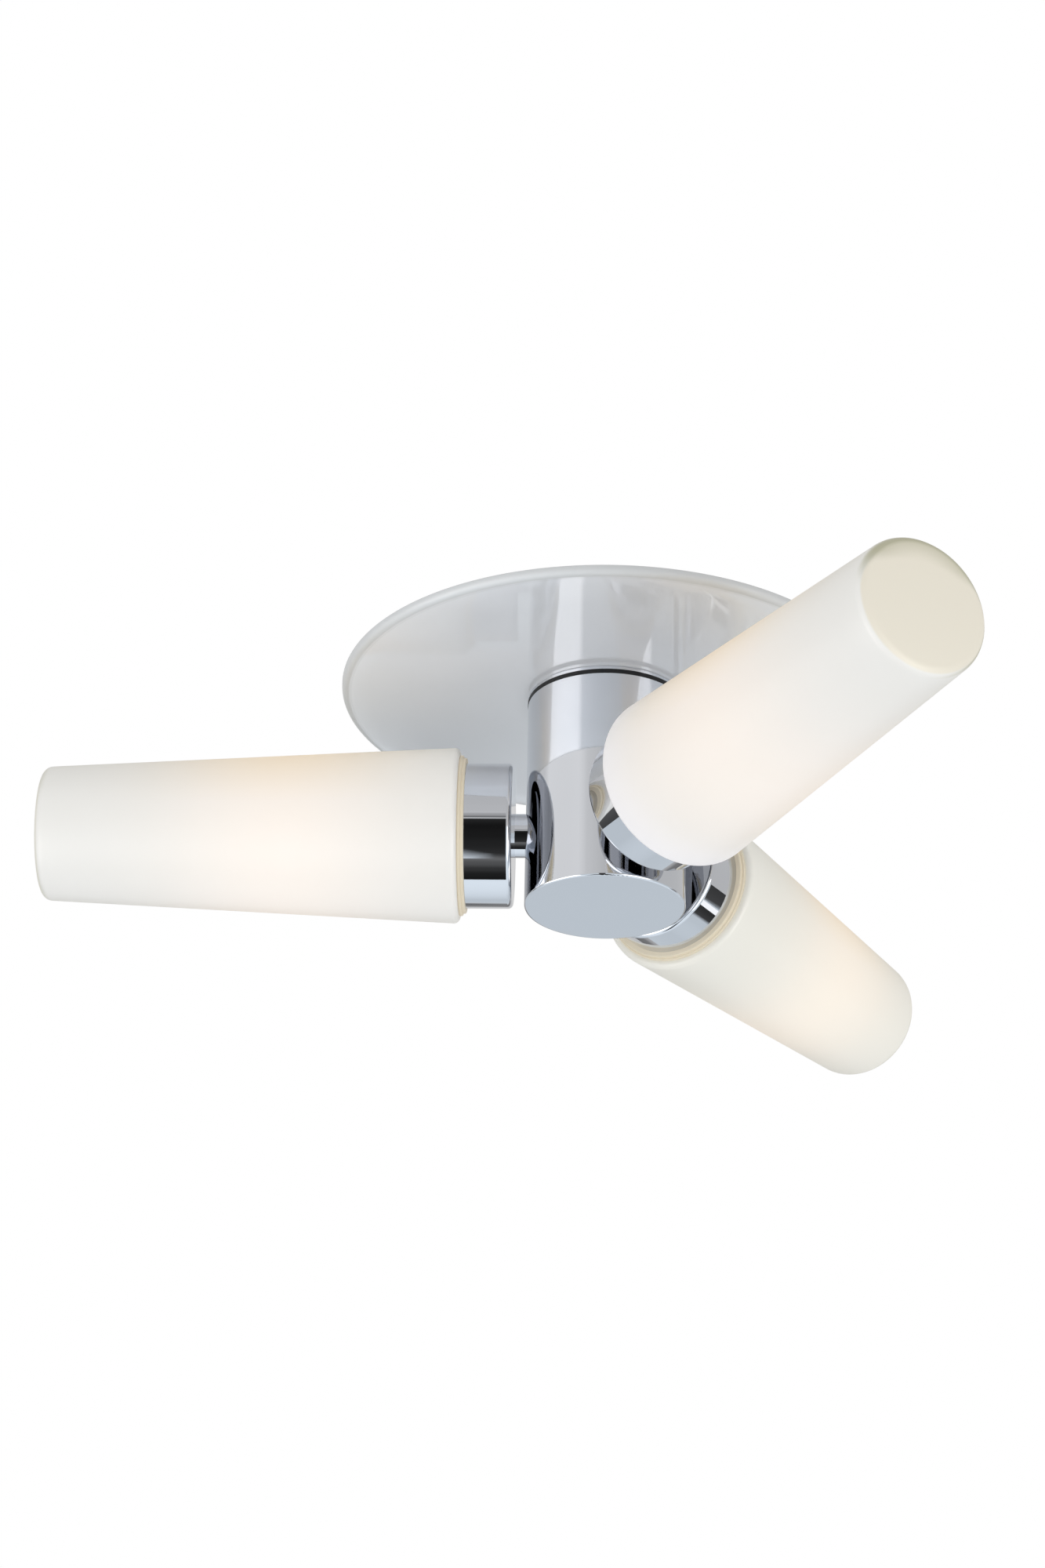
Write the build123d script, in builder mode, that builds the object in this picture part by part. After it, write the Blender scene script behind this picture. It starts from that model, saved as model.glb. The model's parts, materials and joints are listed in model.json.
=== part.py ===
from build123d import *
import math
import os

os.makedirs("parts", exist_ok=True)

# Three-arm ceiling light: a chromed plate and hub with three opal glass shades on G9 lamps.
# Lengths are millimetres, the ceiling is z = 0 and everything hangs below it.

# Ceiling plate: a shallow spun dish over a flat steel disc that takes the load
plate_radius = 101
plate_depth = 3.4
plate_sheet = 1
plate_edge_share = 0.7
backing_radius = 62

# Fixing slots, rivets and the cable hole through plate, disc and collar floor
fixing_spacing = 36
fixing_slot_length = 10
fixing_slot_width = 4.5
slot_degrees = 90
rivet_distance = 20.5
rivet_degrees = (30, 150, 210, 330)
rivet_radius = 1.5
rivet_head_radius = 2.6
rivet_head_height = 1.2

# Rubber grommet that lines the cable hole
grommet_bore_radius = 5
grommet_waist_radius = 7
grommet_flange_radius = 9.5
grommet_lip = 1.6

# Turned collar, its spigot and the seal that shows as a black line above the hub
collar_band = 1.8
collar_edge = 0.3
collar_floor = 3
spigot_wall = 2.5
spigot_length = 12
spigot_lead = 0.6
hub_seal_thickness = 1

# Drawn hub can, closed underneath
hub_radius = 30
hub_depth = 89
hub_wall = 1.2
hub_floor = 1.5
hub_edge_radius = 0.8

# Two set screws on the side that faces away from the room
set_screw_radius = 2
set_screw_degrees = (40, 140)
set_screw_socket = 1.1
set_screw_socket_depth = 1.6
set_screw_bite = 0.5

# Clearances
slide_gap = 0.2
seat_gap = 0.05
hole_gap = 0.2
turning_gap = 0.35
pin_gap = 0.08
overrun = 2

# Terminal bracket, block and screws inside the hub
bracket_sheet = 1.2
bracket_width = 14
bracket_stand_off = 1.5
bracket_reach_share = 0.9
bracket_corner = 2
earth_screw_radius = 2
earth_head_radius = 3.8
earth_head_height = 2.4
block_drop = 7.6
block_height = 18
block_width = 20
block_thickness = 12
block_corner = 1
pole_spacing = 10
sleeve_radius = 2.7
sleeve_wall = 0.8
sleeve_inset = 0.8
clamp_screw_radius = 1.6
clamp_screw_spacing = 9
clamp_screw_inset = 0.5
block_screw_radius = 1.4
block_head_radius = 2.4
block_head_height = 1.8

# Arms
arm_names = ("left", "front", "back")
left_arm_degrees = 180
arm_step_degrees = 120
arm_depth = 60
nipple_radius = 5
nipple_bore_radius = 4
nipple_start = 21.5
nut_radius = 8
nut_thickness = 3.2
spacer_radius = 8.25
spacer_length = 4.5

# Cup that the glass screws into
cup_radius = 27.25
cup_length = 17.5
cup_wall = 1
cup_floor = 1.2
cup_edge_radius = 1.8

# Silicone ring between cup and glass, in two steps
ring_radius = 30.1
ring_step = 0.9
ring_thickness = 2.4

# Opal glass shade
glass_back_radius = 33.1
glass_tip_radius = 25.1
glass_length = 156.6
glass_wall = 2.6
glass_crown = 1
shoulder_radius = 2.2
tip_edge_radius = 4
inner_edge_share = 0.35
neck_length = 10.4

# Lampholder on its U-shaped bracket
stirrup_sheet = 1.2
stirrup_width = 16
stirrup_length = 14.3
holder_width = 22
holder_height = 15
holder_length = 13
holder_corner = 3
holder_back = 7.3
seat_width = 16
seat_height = 9
seat_length = 1.5
socket_spacing = 9
socket_depth = 12.5
pin_radius = 0.7
holder_screw_radius = 1.45
holder_screw_bite = 3.5
holder_screw_back = 3.5
holder_screw_head_radius = 2.6
holder_screw_head_height = 1.6

# G9 lamp
pin_length = 11.5
pin_root = 2
lamp_base_radius = 7.4
lamp_base_length = 6
lamp_base_edge = 0.8
lamp_radius = 8
lamp_length = 40.5
lamp_taper = 1.5

# Leads from the terminal block to the lampholders
wire_radius = 0.8
wire_bundle_radius = 1
wire_in_block = 5
wire_below_block = 3
wire_lift = 2
wire_run_in = 3
wire_in_holder = 1
poles = {"live": 1, "neutral": -1}
low_crossing_distance = -1.2
high_crossing_distance = 13
high_crossing_rise = 12

# Levels below the ceiling, worked out from the sizes above
plate_face = -plate_depth
band_level = plate_face - collar_band
hub_top = band_level - hub_seal_thickness
floor_level = plate_face - collar_floor
spigot_end = band_level - spigot_length
spigot_radius = hub_radius - hub_wall - slide_gap
spigot_inner_radius = spigot_radius - spigot_wall
set_screw_level = band_level - spigot_length / 2
hub_inner_radius = hub_radius - hub_wall

# Angle of each arm, anticlockwise seen from above
arm_angles = {name: left_arm_degrees + turn * arm_step_degrees for turn, name in enumerate(arm_names)}

# Distances along an arm from the hub's axis
nut_corner_radius = nut_radius / math.cos(math.radians(30))
hub_nut_face = math.sqrt(hub_inner_radius**2 - nut_corner_radius**2)
cup_back = hub_radius + spacer_length
cup_inside = cup_back + cup_floor
cup_rim = cup_back + cup_length
cup_inner_radius = cup_radius - cup_wall
stirrup_face = cup_inside + stirrup_sheet
nipple_end = stirrup_face + nut_thickness + seat_gap * overrun
holder_start = cup_inside + holder_back
holder_end = holder_start + holder_length
seat_face = holder_end + seat_length
glass_back = cup_rim + ring_thickness
glass_tip = glass_back + glass_length
neck_radius = cup_inner_radius - turning_gap
neck_back = glass_back - neck_length
lamp_base_end = seat_face + lamp_base_length

# Positions of the terminal block
leg_face = grommet_flange_radius + bracket_stand_off
foot_end = spigot_inner_radius * bracket_reach_share
block_front = leg_face - block_thickness
block_middle = leg_face - block_thickness / 2
block_top = floor_level - block_drop
block_centre_level = block_top - block_height / 2
block_bottom = block_top - block_height
earth_screw_distance = (leg_face + bracket_sheet + foot_end) / 2

arm_axis = Axis((0, 0, -arm_depth), (1, 0, 0))
arm_section = Plane(origin=(0, 0, -arm_depth), x_dir=(1, 0, 0), z_dir=(0, -1, 0))


def across_arm(distance):
    """Plane square to the arm that points along X, with local x level and local y up."""
    return Plane(origin=(distance, 0, -arm_depth), x_dir=(0, 1, 0), z_dir=(1, 0, 0))


def facing(angle, level, distance=0):
    """Upright plane at a level that faces outward from the hub's axis at an angle."""
    turn = math.radians(angle)
    outward = Vector(math.cos(turn), math.sin(turn), 0)
    sideways = Vector(-math.sin(turn), math.cos(turn), 0)
    return Plane(origin=outward * distance + Vector(0, 0, level), x_dir=sideways, z_dir=outward)


def save(shape, name):
    shape.label = name
    export_step(shape, f"parts/{name}.step")


def save_on_arms(piece, name):
    for side, angle in arm_angles.items():
        save(piece.part.rotate(Axis.Z, angle), f"{name}_{side}")


def save_as_group(piece, name):
    with BuildPart() as group:
        for angle in arm_angles.values():
            add(piece.part.rotate(Axis.Z, angle))
    save(group.part, name)


def fixing_cuts(radius_of_cable_hole):
    """Cable hole, fixing slots and rivet holes, the same in disc, plate and collar."""
    with BuildSketch() as cuts:
        Circle(radius_of_cable_hole)
        with GridLocations(fixing_spacing, fixing_spacing, 1, 2):
            SlotOverall(fixing_slot_length, fixing_slot_width, rotation=slot_degrees)
        for angle in rivet_degrees:
            with PolarLocations(rivet_distance, 1, start_angle=angle):
                Circle(rivet_radius + seat_gap)
    return cuts.sketch


# Steel disc between the ceiling and the chromed plate
with BuildPart() as backing_disc:
    with BuildSketch(Plane.XY.offset(plate_face + plate_sheet)):
        Circle(backing_radius)
    extrude(amount=plate_depth - plate_sheet)
    with BuildSketch(Plane.XY.offset(-plate_depth - overrun)):
        add(fixing_cuts(grommet_flange_radius))
    extrude(amount=plate_depth + overrun * 2, mode=Mode.SUBTRACT)
save(backing_disc.part, "backing_disc")

# Chromed plate, a dish with a rounded rim that stands on the ceiling
plate_edge_radius = plate_depth * plate_edge_share
with BuildPart() as dish_space:
    with BuildSketch(Plane.XY.offset(plate_face + plate_sheet)):
        Circle(plate_radius - plate_sheet)
    extrude(amount=plate_depth)
    fillet(dish_space.edges().group_by(Axis.Z)[0], plate_edge_radius - plate_sheet)

with BuildPart() as ceiling_plate:
    with BuildSketch(Plane.XY.offset(plate_face)):
        Circle(plate_radius)
    extrude(amount=plate_depth)
    fillet(ceiling_plate.edges().group_by(Axis.Z)[0], plate_edge_radius)
    add(dish_space.part, mode=Mode.SUBTRACT)
    with BuildSketch(Plane.XY.offset(-plate_depth - overrun)):
        add(fixing_cuts(grommet_waist_radius))
    extrude(amount=plate_depth + overrun * 2, mode=Mode.SUBTRACT)
save(ceiling_plate.part, "ceiling_plate")

# Collar: a band as wide as the hub, a floor under the plate and a spigot inside the can
with BuildPart() as hub_collar:
    with BuildSketch(Plane.XZ):
        with BuildLine():
            Polyline(
                (0, plate_face),
                (hub_radius, plate_face),
                (hub_radius, band_level),
                (spigot_radius, band_level),
                (spigot_radius, spigot_end),
                (spigot_inner_radius, spigot_end),
                (spigot_inner_radius, floor_level),
                (0, floor_level),
                close=True,
            )
        make_face()
    revolve(axis=Axis.Z)
    chamfer(hub_collar.edges().group_by(Axis.Z)[-1], collar_edge)
    chamfer(hub_collar.edges().group_by(Axis.Z)[0].sort_by(SortBy.RADIUS)[-1], spigot_lead)
    with BuildSketch(Plane.XY.offset(floor_level - overrun)):
        add(fixing_cuts(grommet_waist_radius))
        with Locations((earth_screw_distance, 0)):
            Circle(earth_screw_radius)
    extrude(amount=collar_floor + overrun * 2, mode=Mode.SUBTRACT)
    with BuildSketch(*[facing(angle, set_screw_level) for angle in set_screw_degrees]):
        Circle(set_screw_radius)
    extrude(amount=hub_radius, mode=Mode.SUBTRACT)
save(hub_collar.part, "hub_collar")

# Rivets from the collar's floor up to the back of the disc
with BuildPart() as collar_rivets:
    for angle in rivet_degrees:
        with BuildSketch(Plane.XY.offset(floor_level)):
            with PolarLocations(rivet_distance, 1, start_angle=angle):
                Circle(rivet_radius)
        extrude(amount=-floor_level)
        with BuildSketch(Plane.XY.offset(floor_level)):
            with PolarLocations(rivet_distance, 1, start_angle=angle):
                Circle(rivet_head_radius)
        extrude(amount=-rivet_head_height, taper=30)
save(collar_rivets.part, "collar_rivets")

# Grommet with a flange behind the plate and a lip under the collar's floor
with BuildPart() as cable_grommet:
    with BuildSketch(Plane.XZ):
        with BuildLine():
            Polyline(
                (grommet_bore_radius, 0),
                (grommet_flange_radius - seat_gap, 0),
                (grommet_flange_radius - seat_gap, plate_face + plate_sheet),
                (grommet_waist_radius - seat_gap, plate_face + plate_sheet),
                (grommet_waist_radius - seat_gap, floor_level),
                (grommet_flange_radius, floor_level),
                (grommet_flange_radius - grommet_lip / 2, floor_level - grommet_lip),
                (grommet_bore_radius, floor_level - grommet_lip),
                close=True,
            )
        make_face()
    revolve(axis=Axis.Z)
save(cable_grommet.part, "cable_grommet")

# Black seal around the spigot, between the collar's band and the can
with BuildPart() as hub_seal:
    with BuildSketch(Plane.XY.offset(hub_top)):
        Circle(hub_radius)
        Circle(spigot_radius + seat_gap, mode=Mode.SUBTRACT)
    extrude(amount=hub_seal_thickness)
save(hub_seal.part, "hub_seal")

# Hub can with a hole for each arm and for each set screw
with BuildPart() as hub_can:
    with BuildSketch(Plane.XY.offset(-hub_depth)):
        Circle(hub_radius)
    extrude(amount=hub_depth + hub_top)
    fillet(hub_can.edges().group_by(Axis.Z)[0], hub_edge_radius)
    with BuildSketch(Plane.XY.offset(-hub_depth + hub_floor)):
        Circle(hub_inner_radius)
    extrude(amount=hub_depth, mode=Mode.SUBTRACT)
    with BuildSketch(*[facing(angle, -arm_depth) for angle in arm_angles.values()]):
        Circle(nipple_radius + hole_gap)
    extrude(amount=hub_radius + overrun, mode=Mode.SUBTRACT)
    with BuildSketch(*[facing(angle, set_screw_level) for angle in set_screw_degrees]):
        Circle(set_screw_radius + hole_gap)
    extrude(amount=hub_radius + overrun, mode=Mode.SUBTRACT)
save(hub_can.part, "hub_can")

# Set screws, flush with the can's wall, with a hexagon socket
set_screw_start = spigot_inner_radius - set_screw_bite
set_screw_end = hub_radius - slide_gap
with BuildPart() as hub_set_screws:
    with BuildSketch(*[facing(angle, set_screw_level, set_screw_start) for angle in set_screw_degrees]):
        Circle(set_screw_radius - seat_gap)
    extrude(amount=set_screw_end - set_screw_start)
    with BuildSketch(*[facing(angle, set_screw_level, set_screw_end) for angle in set_screw_degrees]):
        RegularPolygon(set_screw_socket, 6)
    extrude(amount=-set_screw_socket_depth, mode=Mode.SUBTRACT)
save(hub_set_screws.part, "hub_set_screws")

# Bracket: a foot under the collar's floor and a leg that carries the terminal block
with BuildPart() as terminal_bracket:
    with BuildSketch(Plane.XZ):
        with BuildLine():
            Polyline(
                (leg_face, floor_level),
                (foot_end, floor_level),
                (foot_end, floor_level - bracket_sheet),
                (leg_face + bracket_sheet, floor_level - bracket_sheet),
                (leg_face + bracket_sheet, block_bottom),
                (leg_face, block_bottom),
                close=True,
            )
        make_face()
    extrude(amount=bracket_width / 2, both=True)
    fillet(terminal_bracket.edges().filter_by(Axis.Z).group_by(Axis.X)[-1], bracket_corner)
    fillet(terminal_bracket.edges().filter_by(Axis.X).group_by(Axis.Z)[0], bracket_corner)
    with BuildSketch(Plane.XY.offset(floor_level - bracket_sheet - overrun)):
        with Locations((earth_screw_distance, 0)):
            Circle(earth_screw_radius + hole_gap)
    extrude(amount=bracket_sheet + overrun * 2, mode=Mode.SUBTRACT)
    with BuildSketch(facing(0, block_centre_level, leg_face - overrun)):
        Circle(block_screw_radius)
    extrude(amount=bracket_sheet + overrun * 2, mode=Mode.SUBTRACT)
save(terminal_bracket.part, "terminal_bracket")

# Earth screw, which also holds the bracket to the collar
with BuildPart() as earth_screw:
    with BuildSketch(Plane.XY.offset(plate_face - seat_gap)):
        with Locations((earth_screw_distance, 0)):
            Circle(earth_screw_radius - seat_gap)
    extrude(amount=-(collar_floor + bracket_sheet))
    with BuildSketch(Plane.XY.offset(floor_level - bracket_sheet)):
        with Locations((earth_screw_distance, 0)):
            Circle(earth_head_radius)
    extrude(amount=-earth_head_height)
    chamfer(earth_screw.edges().group_by(Axis.Z)[0], earth_head_height / 4)
    with BuildSketch(Plane.XY.offset(floor_level - bracket_sheet - earth_head_height)):
        with Locations((earth_screw_distance, 0)):
            Rectangle(earth_head_radius * 3, earth_screw_radius / 2)
    extrude(amount=earth_head_height / 2, mode=Mode.SUBTRACT)
save(earth_screw.part, "earth_screw")

# Two-pole terminal block with a screw through its middle
pole_places = [(block_middle, side * pole_spacing / 2) for side in poles.values()]
clamp_places = [
    (side * pole_spacing / 2, height * clamp_screw_spacing / 2) for side in (-1, 1) for height in (-1, 1)
]
with BuildPart() as terminal_block:
    with BuildSketch(Plane.XY.offset(block_bottom)):
        with Locations((block_middle, 0)):
            RectangleRounded(block_thickness, block_width, block_corner)
    extrude(amount=block_height)
    with BuildSketch(Plane.XY.offset(block_bottom)):
        with Locations(*pole_places):
            Circle(sleeve_radius)
    extrude(amount=block_height, mode=Mode.SUBTRACT)
    with BuildSketch(facing(0, block_centre_level, block_front)):
        with Locations(*clamp_places):
            Circle(clamp_screw_radius + seat_gap)
    extrude(amount=block_thickness / 2, mode=Mode.SUBTRACT)
    with BuildSketch(facing(0, block_centre_level, block_front)):
        Circle(block_screw_radius + seat_gap)
    extrude(amount=block_thickness, mode=Mode.SUBTRACT)
    with BuildSketch(facing(0, block_centre_level, block_front)):
        Circle(block_head_radius + seat_gap)
    extrude(amount=block_head_height, mode=Mode.SUBTRACT)
save(terminal_block.part, "terminal_block")

# Brass sleeves in the block
with BuildPart() as terminal_sleeves:
    with BuildSketch(Plane.XY.offset(block_bottom + sleeve_inset)):
        with Locations(*pole_places):
            Circle(sleeve_radius - seat_gap)
            Circle(sleeve_radius - sleeve_wall, mode=Mode.SUBTRACT)
    extrude(amount=block_height - sleeve_inset * 2)
    with BuildSketch(facing(0, block_centre_level, block_front)):
        with Locations(*clamp_places):
            Circle(clamp_screw_radius + seat_gap)
    extrude(amount=block_thickness / 2, mode=Mode.SUBTRACT)
save(terminal_sleeves.part, "terminal_sleeves")

# Clamping screws that press on the leads
clamp_screw_start = block_front + clamp_screw_inset
clamp_screw_end = block_middle - wire_bundle_radius - wire_radius - seat_gap
with BuildPart() as terminal_screws:
    with BuildSketch(facing(0, block_centre_level, clamp_screw_start)):
        with Locations(*clamp_places):
            Circle(clamp_screw_radius)
    extrude(amount=clamp_screw_end - clamp_screw_start)
    with BuildSketch(facing(0, block_centre_level, clamp_screw_start)):
        with Locations(*clamp_places):
            Rectangle(clamp_screw_radius * 3, clamp_screw_radius / 3)
    extrude(amount=clamp_screw_inset, mode=Mode.SUBTRACT)
save(terminal_screws.part, "terminal_screws")

# Screw that holds the block to the bracket's leg
with BuildPart() as block_screw:
    with BuildSketch(facing(0, block_centre_level, block_front + block_head_height)):
        Circle(block_screw_radius - seat_gap)
    extrude(amount=block_thickness - block_head_height + bracket_sheet)
    with BuildSketch(facing(0, block_centre_level, block_front + block_head_height)):
        Circle(block_head_radius)
    extrude(amount=-block_head_height)
save(block_screw.part, "block_screw")

# Hollow threaded nipple that carries each arm through the can's wall
with BuildPart() as arm_nipple:
    with BuildSketch(across_arm(nipple_start)):
        Circle(nipple_radius)
        Circle(nipple_bore_radius, mode=Mode.SUBTRACT)
    extrude(amount=nipple_end - nipple_start)
save_as_group(arm_nipple, "arm_nipples")

# Nuts on the nipple: one inside the can, one inside the cup
for name, nut_start in {"hub_nuts": hub_nut_face - nut_thickness, "cup_nuts": stirrup_face}.items():
    with BuildPart() as nut:
        with BuildSketch(across_arm(nut_start)):
            RegularPolygon(nut_corner_radius, 6)
            Circle(nipple_radius + seat_gap, mode=Mode.SUBTRACT)
        extrude(amount=nut_thickness)
    save_as_group(nut, name)

# Chromed spacer, hollowed at one end to sit on the can's round wall
with BuildPart() as arm_spacer:
    with BuildSketch(across_arm(hub_inner_radius)):
        Circle(spacer_radius)
        Circle(nipple_radius + hole_gap, mode=Mode.SUBTRACT)
    extrude(amount=cup_back - hub_inner_radius)
    with BuildSketch(Plane.XY.offset(-hub_depth)):
        Circle(hub_radius + seat_gap)
    extrude(amount=hub_depth, mode=Mode.SUBTRACT)
save_on_arms(arm_spacer, "arm_spacer")

# Cup, drawn from sheet, with a rounded back edge
with BuildPart() as cup:
    with BuildSketch(across_arm(cup_back)):
        Circle(cup_radius)
    extrude(amount=cup_length)
    fillet(cup.edges().group_by(Axis.X)[0], cup_edge_radius)
    with BuildSketch(across_arm(cup_inside)):
        Circle(cup_inner_radius)
    extrude(amount=cup_length, mode=Mode.SUBTRACT)
    with BuildSketch(across_arm(cup_back)):
        Circle(nipple_radius + hole_gap)
    extrude(amount=cup_floor, mode=Mode.SUBTRACT)
save_on_arms(cup, "cup")

# Stirrup: a U of sheet steel under the cup's nut, with the lampholder between its legs
stirrup_leg = holder_width / 2
stirrup_end = cup_inside + stirrup_length
with BuildPart() as stirrup:
    with BuildSketch(Plane.XY.offset(-arm_depth)):
        with BuildLine():
            Polyline(
                (cup_inside, -stirrup_leg - stirrup_sheet),
                (stirrup_end, -stirrup_leg - stirrup_sheet),
                (stirrup_end, -stirrup_leg),
                (stirrup_face, -stirrup_leg),
                (stirrup_face, stirrup_leg),
                (stirrup_end, stirrup_leg),
                (stirrup_end, stirrup_leg + stirrup_sheet),
                (cup_inside, stirrup_leg + stirrup_sheet),
                close=True,
            )
        make_face()
    extrude(amount=stirrup_width / 2, both=True)
    fillet(stirrup.edges().filter_by(Axis.Y).group_by(Axis.X)[-1], stirrup_sheet * 2)
    with BuildSketch(across_arm(cup_inside)):
        Circle(nipple_radius + hole_gap)
    extrude(amount=stirrup_sheet, mode=Mode.SUBTRACT)
    holder_screw_distance = holder_start + holder_screw_back
    with BuildSketch(Plane.XZ):
        with Locations((holder_screw_distance, -arm_depth)):
            Circle(holder_screw_radius + seat_gap)
    extrude(amount=holder_width, both=True, mode=Mode.SUBTRACT)
save_on_arms(stirrup, "stirrup")

# Ceramic lampholder with an oval seat and two sockets for the lamp's pins
socket_places = [(side * socket_spacing / 2, 0) for side in (-1, 1)]
wire_places = [(0, side * wire_lift) for side in (-1, 1)]
with BuildPart() as lampholder:
    with BuildSketch(across_arm(holder_start)):
        RectangleRounded(holder_width, holder_height, holder_corner)
    extrude(amount=holder_length)
    with BuildSketch(across_arm(holder_end)):
        SlotOverall(seat_width, seat_height)
    extrude(amount=seat_length)
    with BuildSketch(across_arm(seat_face)):
        with Locations(*socket_places):
            Circle(pin_radius + pin_gap)
    extrude(amount=-socket_depth, mode=Mode.SUBTRACT)
    with BuildSketch(across_arm(holder_start)):
        with Locations(*wire_places):
            Circle(wire_radius + seat_gap)
    extrude(amount=wire_in_holder, mode=Mode.SUBTRACT)
    for side in (-1, 1):
        with BuildSketch(Plane.XZ.offset(side * holder_width / 2)):
            with Locations((holder_screw_distance, -arm_depth)):
                Circle(holder_screw_radius + seat_gap)
        extrude(amount=-side * holder_screw_bite, mode=Mode.SUBTRACT)
save_on_arms(lampholder, "lampholder")

# Screws through the stirrup's legs into the lampholder
with BuildPart() as holder_screw_pair:
    for side in (-1, 1):
        head_face = side * (holder_width / 2 + stirrup_sheet)
        with BuildSketch(Plane.XZ.offset(head_face)):
            with Locations((holder_screw_distance, -arm_depth)):
                Circle(holder_screw_radius)
        extrude(amount=-side * (stirrup_sheet + holder_screw_bite - seat_gap))
        with BuildSketch(Plane.XZ.offset(head_face)):
            with Locations((holder_screw_distance, -arm_depth)):
                Circle(holder_screw_head_radius)
        extrude(amount=side * holder_screw_head_height, taper=20)
save_as_group(holder_screw_pair, "holder_screws")

# Silicone ring on the cup's rim, a step wider where the glass bears on it
with BuildPart() as seal_ring:
    with BuildSketch(across_arm(cup_rim)):
        Circle(ring_radius - ring_step)
        Circle(cup_inner_radius + seat_gap, mode=Mode.SUBTRACT)
    extrude(amount=ring_thickness)
    with BuildSketch(across_arm(cup_rim + ring_thickness / 2)):
        Circle(ring_radius)
        Circle(cup_inner_radius + seat_gap, mode=Mode.SUBTRACT)
    extrude(amount=ring_thickness / 2)
save_on_arms(seal_ring, "seal_ring")


def tube_outline(back, back_radius, tip, tip_radius):
    """Half outline of a tapered tube whose closed end bulges slightly."""
    crown_radius = (tip_radius**2 + glass_crown**2) / (glass_crown * 2)
    crown_angle = math.degrees(math.asin(tip_radius / crown_radius))
    JernArc(start=(tip + glass_crown, 0), tangent=(0, 1), radius=crown_radius, arc_size=crown_angle)
    Polyline((tip, tip_radius), (back, back_radius), (back, 0), (tip + glass_crown, 0))


# Shade: blown opal glass, closed at the tip, with a shoulder and a neck that screws into the cup
glass_taper = (glass_back_radius - glass_tip_radius) / glass_length
inner_back = glass_back + glass_wall
inner_tip = glass_tip - glass_wall
with BuildPart() as shade:
    with BuildSketch(arm_section) as outside:
        with BuildLine():
            tube_outline(glass_back, glass_back_radius, glass_tip, glass_tip_radius)
        make_face()
        fillet(outside.vertices().group_by(Axis.Y)[-1], shoulder_radius)
        fillet(outside.vertices().sort_by(Axis.X)[-2], tip_edge_radius)
    revolve(axis=arm_axis)
    with BuildSketch(across_arm(neck_back)):
        Circle(neck_radius)
    extrude(amount=neck_length)
    with BuildSketch(arm_section) as inside:
        with BuildLine():
            tube_outline(
                inner_back,
                glass_back_radius - glass_wall * (1 + glass_taper),
                inner_tip,
                glass_tip_radius - glass_wall * (1 - glass_taper),
            )
        make_face()
        fillet(inside.vertices().group_by(Axis.Y)[-1], shoulder_radius * inner_edge_share)
        fillet(inside.vertices().sort_by(Axis.X)[-2], tip_edge_radius * inner_edge_share)
    revolve(axis=arm_axis, mode=Mode.SUBTRACT)
    with BuildSketch(across_arm(neck_back)):
        Circle(neck_radius - glass_wall)
    extrude(amount=neck_length + glass_wall, mode=Mode.SUBTRACT)
save_on_arms(shade, "shade")

# G9 lamp: pins, moulded base and frosted envelope
with BuildPart() as lamp_pins:
    with BuildSketch(across_arm(seat_face - pin_length)):
        with Locations(*socket_places):
            Circle(pin_radius)
    extrude(amount=pin_length + pin_root)
    fillet(lamp_pins.edges().group_by(Axis.X)[0], pin_radius / 2)
save_on_arms(lamp_pins, "lamp_pins")

with BuildPart() as lamp_base:
    with BuildSketch(across_arm(seat_face)):
        Circle(lamp_base_radius)
    extrude(amount=lamp_base_length)
    chamfer(lamp_base.edges().group_by(Axis.X)[0], lamp_base_edge)
    with BuildSketch(across_arm(seat_face)):
        with Locations(*socket_places):
            Circle(pin_radius)
    extrude(amount=pin_root, mode=Mode.SUBTRACT)
save_on_arms(lamp_base, "lamp_base")

with BuildPart() as lamp_envelope:
    with BuildSketch(arm_section):
        with BuildLine():
            dome_start = lamp_base_end + lamp_length - lamp_radius
            Polyline(
                (dome_start + lamp_radius, 0),
                (lamp_base_end, 0),
                (lamp_base_end, lamp_base_radius),
                (lamp_base_end + lamp_taper, lamp_radius),
                (dome_start, lamp_radius),
            )
            JernArc(start=(dome_start, lamp_radius), tangent=(1, 0), radius=lamp_radius, arc_size=-90)
        make_face()
    revolve(axis=arm_axis)
save_on_arms(lamp_envelope, "lamp_envelope")

# Leads: down out of the block, across the hub and out through each nipple. Two of them cross,
# one above the arms and one midway between the arms and the can's floor
crossings = {
    ("live", "front"): Vector(low_crossing_distance, 0, (hub_floor - hub_depth - arm_depth) / 2),
    ("neutral", "back"): Vector(high_crossing_distance, 0, -arm_depth + high_crossing_rise),
}
for side, angle in arm_angles.items():
    turn = math.radians(angle)
    outward = Vector(math.cos(turn), math.sin(turn), 0)
    with BuildPart() as leads:
        for pole, sign in poles.items():
            pole_centre = Vector(block_middle, sign * pole_spacing / 2, block_bottom)
            entry = pole_centre + outward * wire_bundle_radius
            lead_level = Vector(0, 0, -arm_depth - sign * wire_lift)
            mouth = outward * (nipple_start - wire_run_in) + lead_level
            seat = outward * (holder_start + wire_in_holder - seat_gap) + lead_level
            down = Vector(0, 0, -1)
            turn_down = entry + down * wire_below_block
            points = [turn_down, mouth]
            if (pole, side) in crossings:
                points.insert(1, crossings[(pole, side)])
            with BuildLine() as route:
                Line(entry - down * wire_in_block, turn_down)
                Spline(*points, tangents=(down, outward))
                Line(mouth, seat)
            with BuildSketch(Plane(origin=entry - down * wire_in_block, z_dir=down)):
                Circle(wire_radius)
            sweep(path=route.line)
    save(leads.part, f"leads_{side}")
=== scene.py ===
import json
import math
from functools import partial

import bpy
from mathutils import Matrix, Vector

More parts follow.
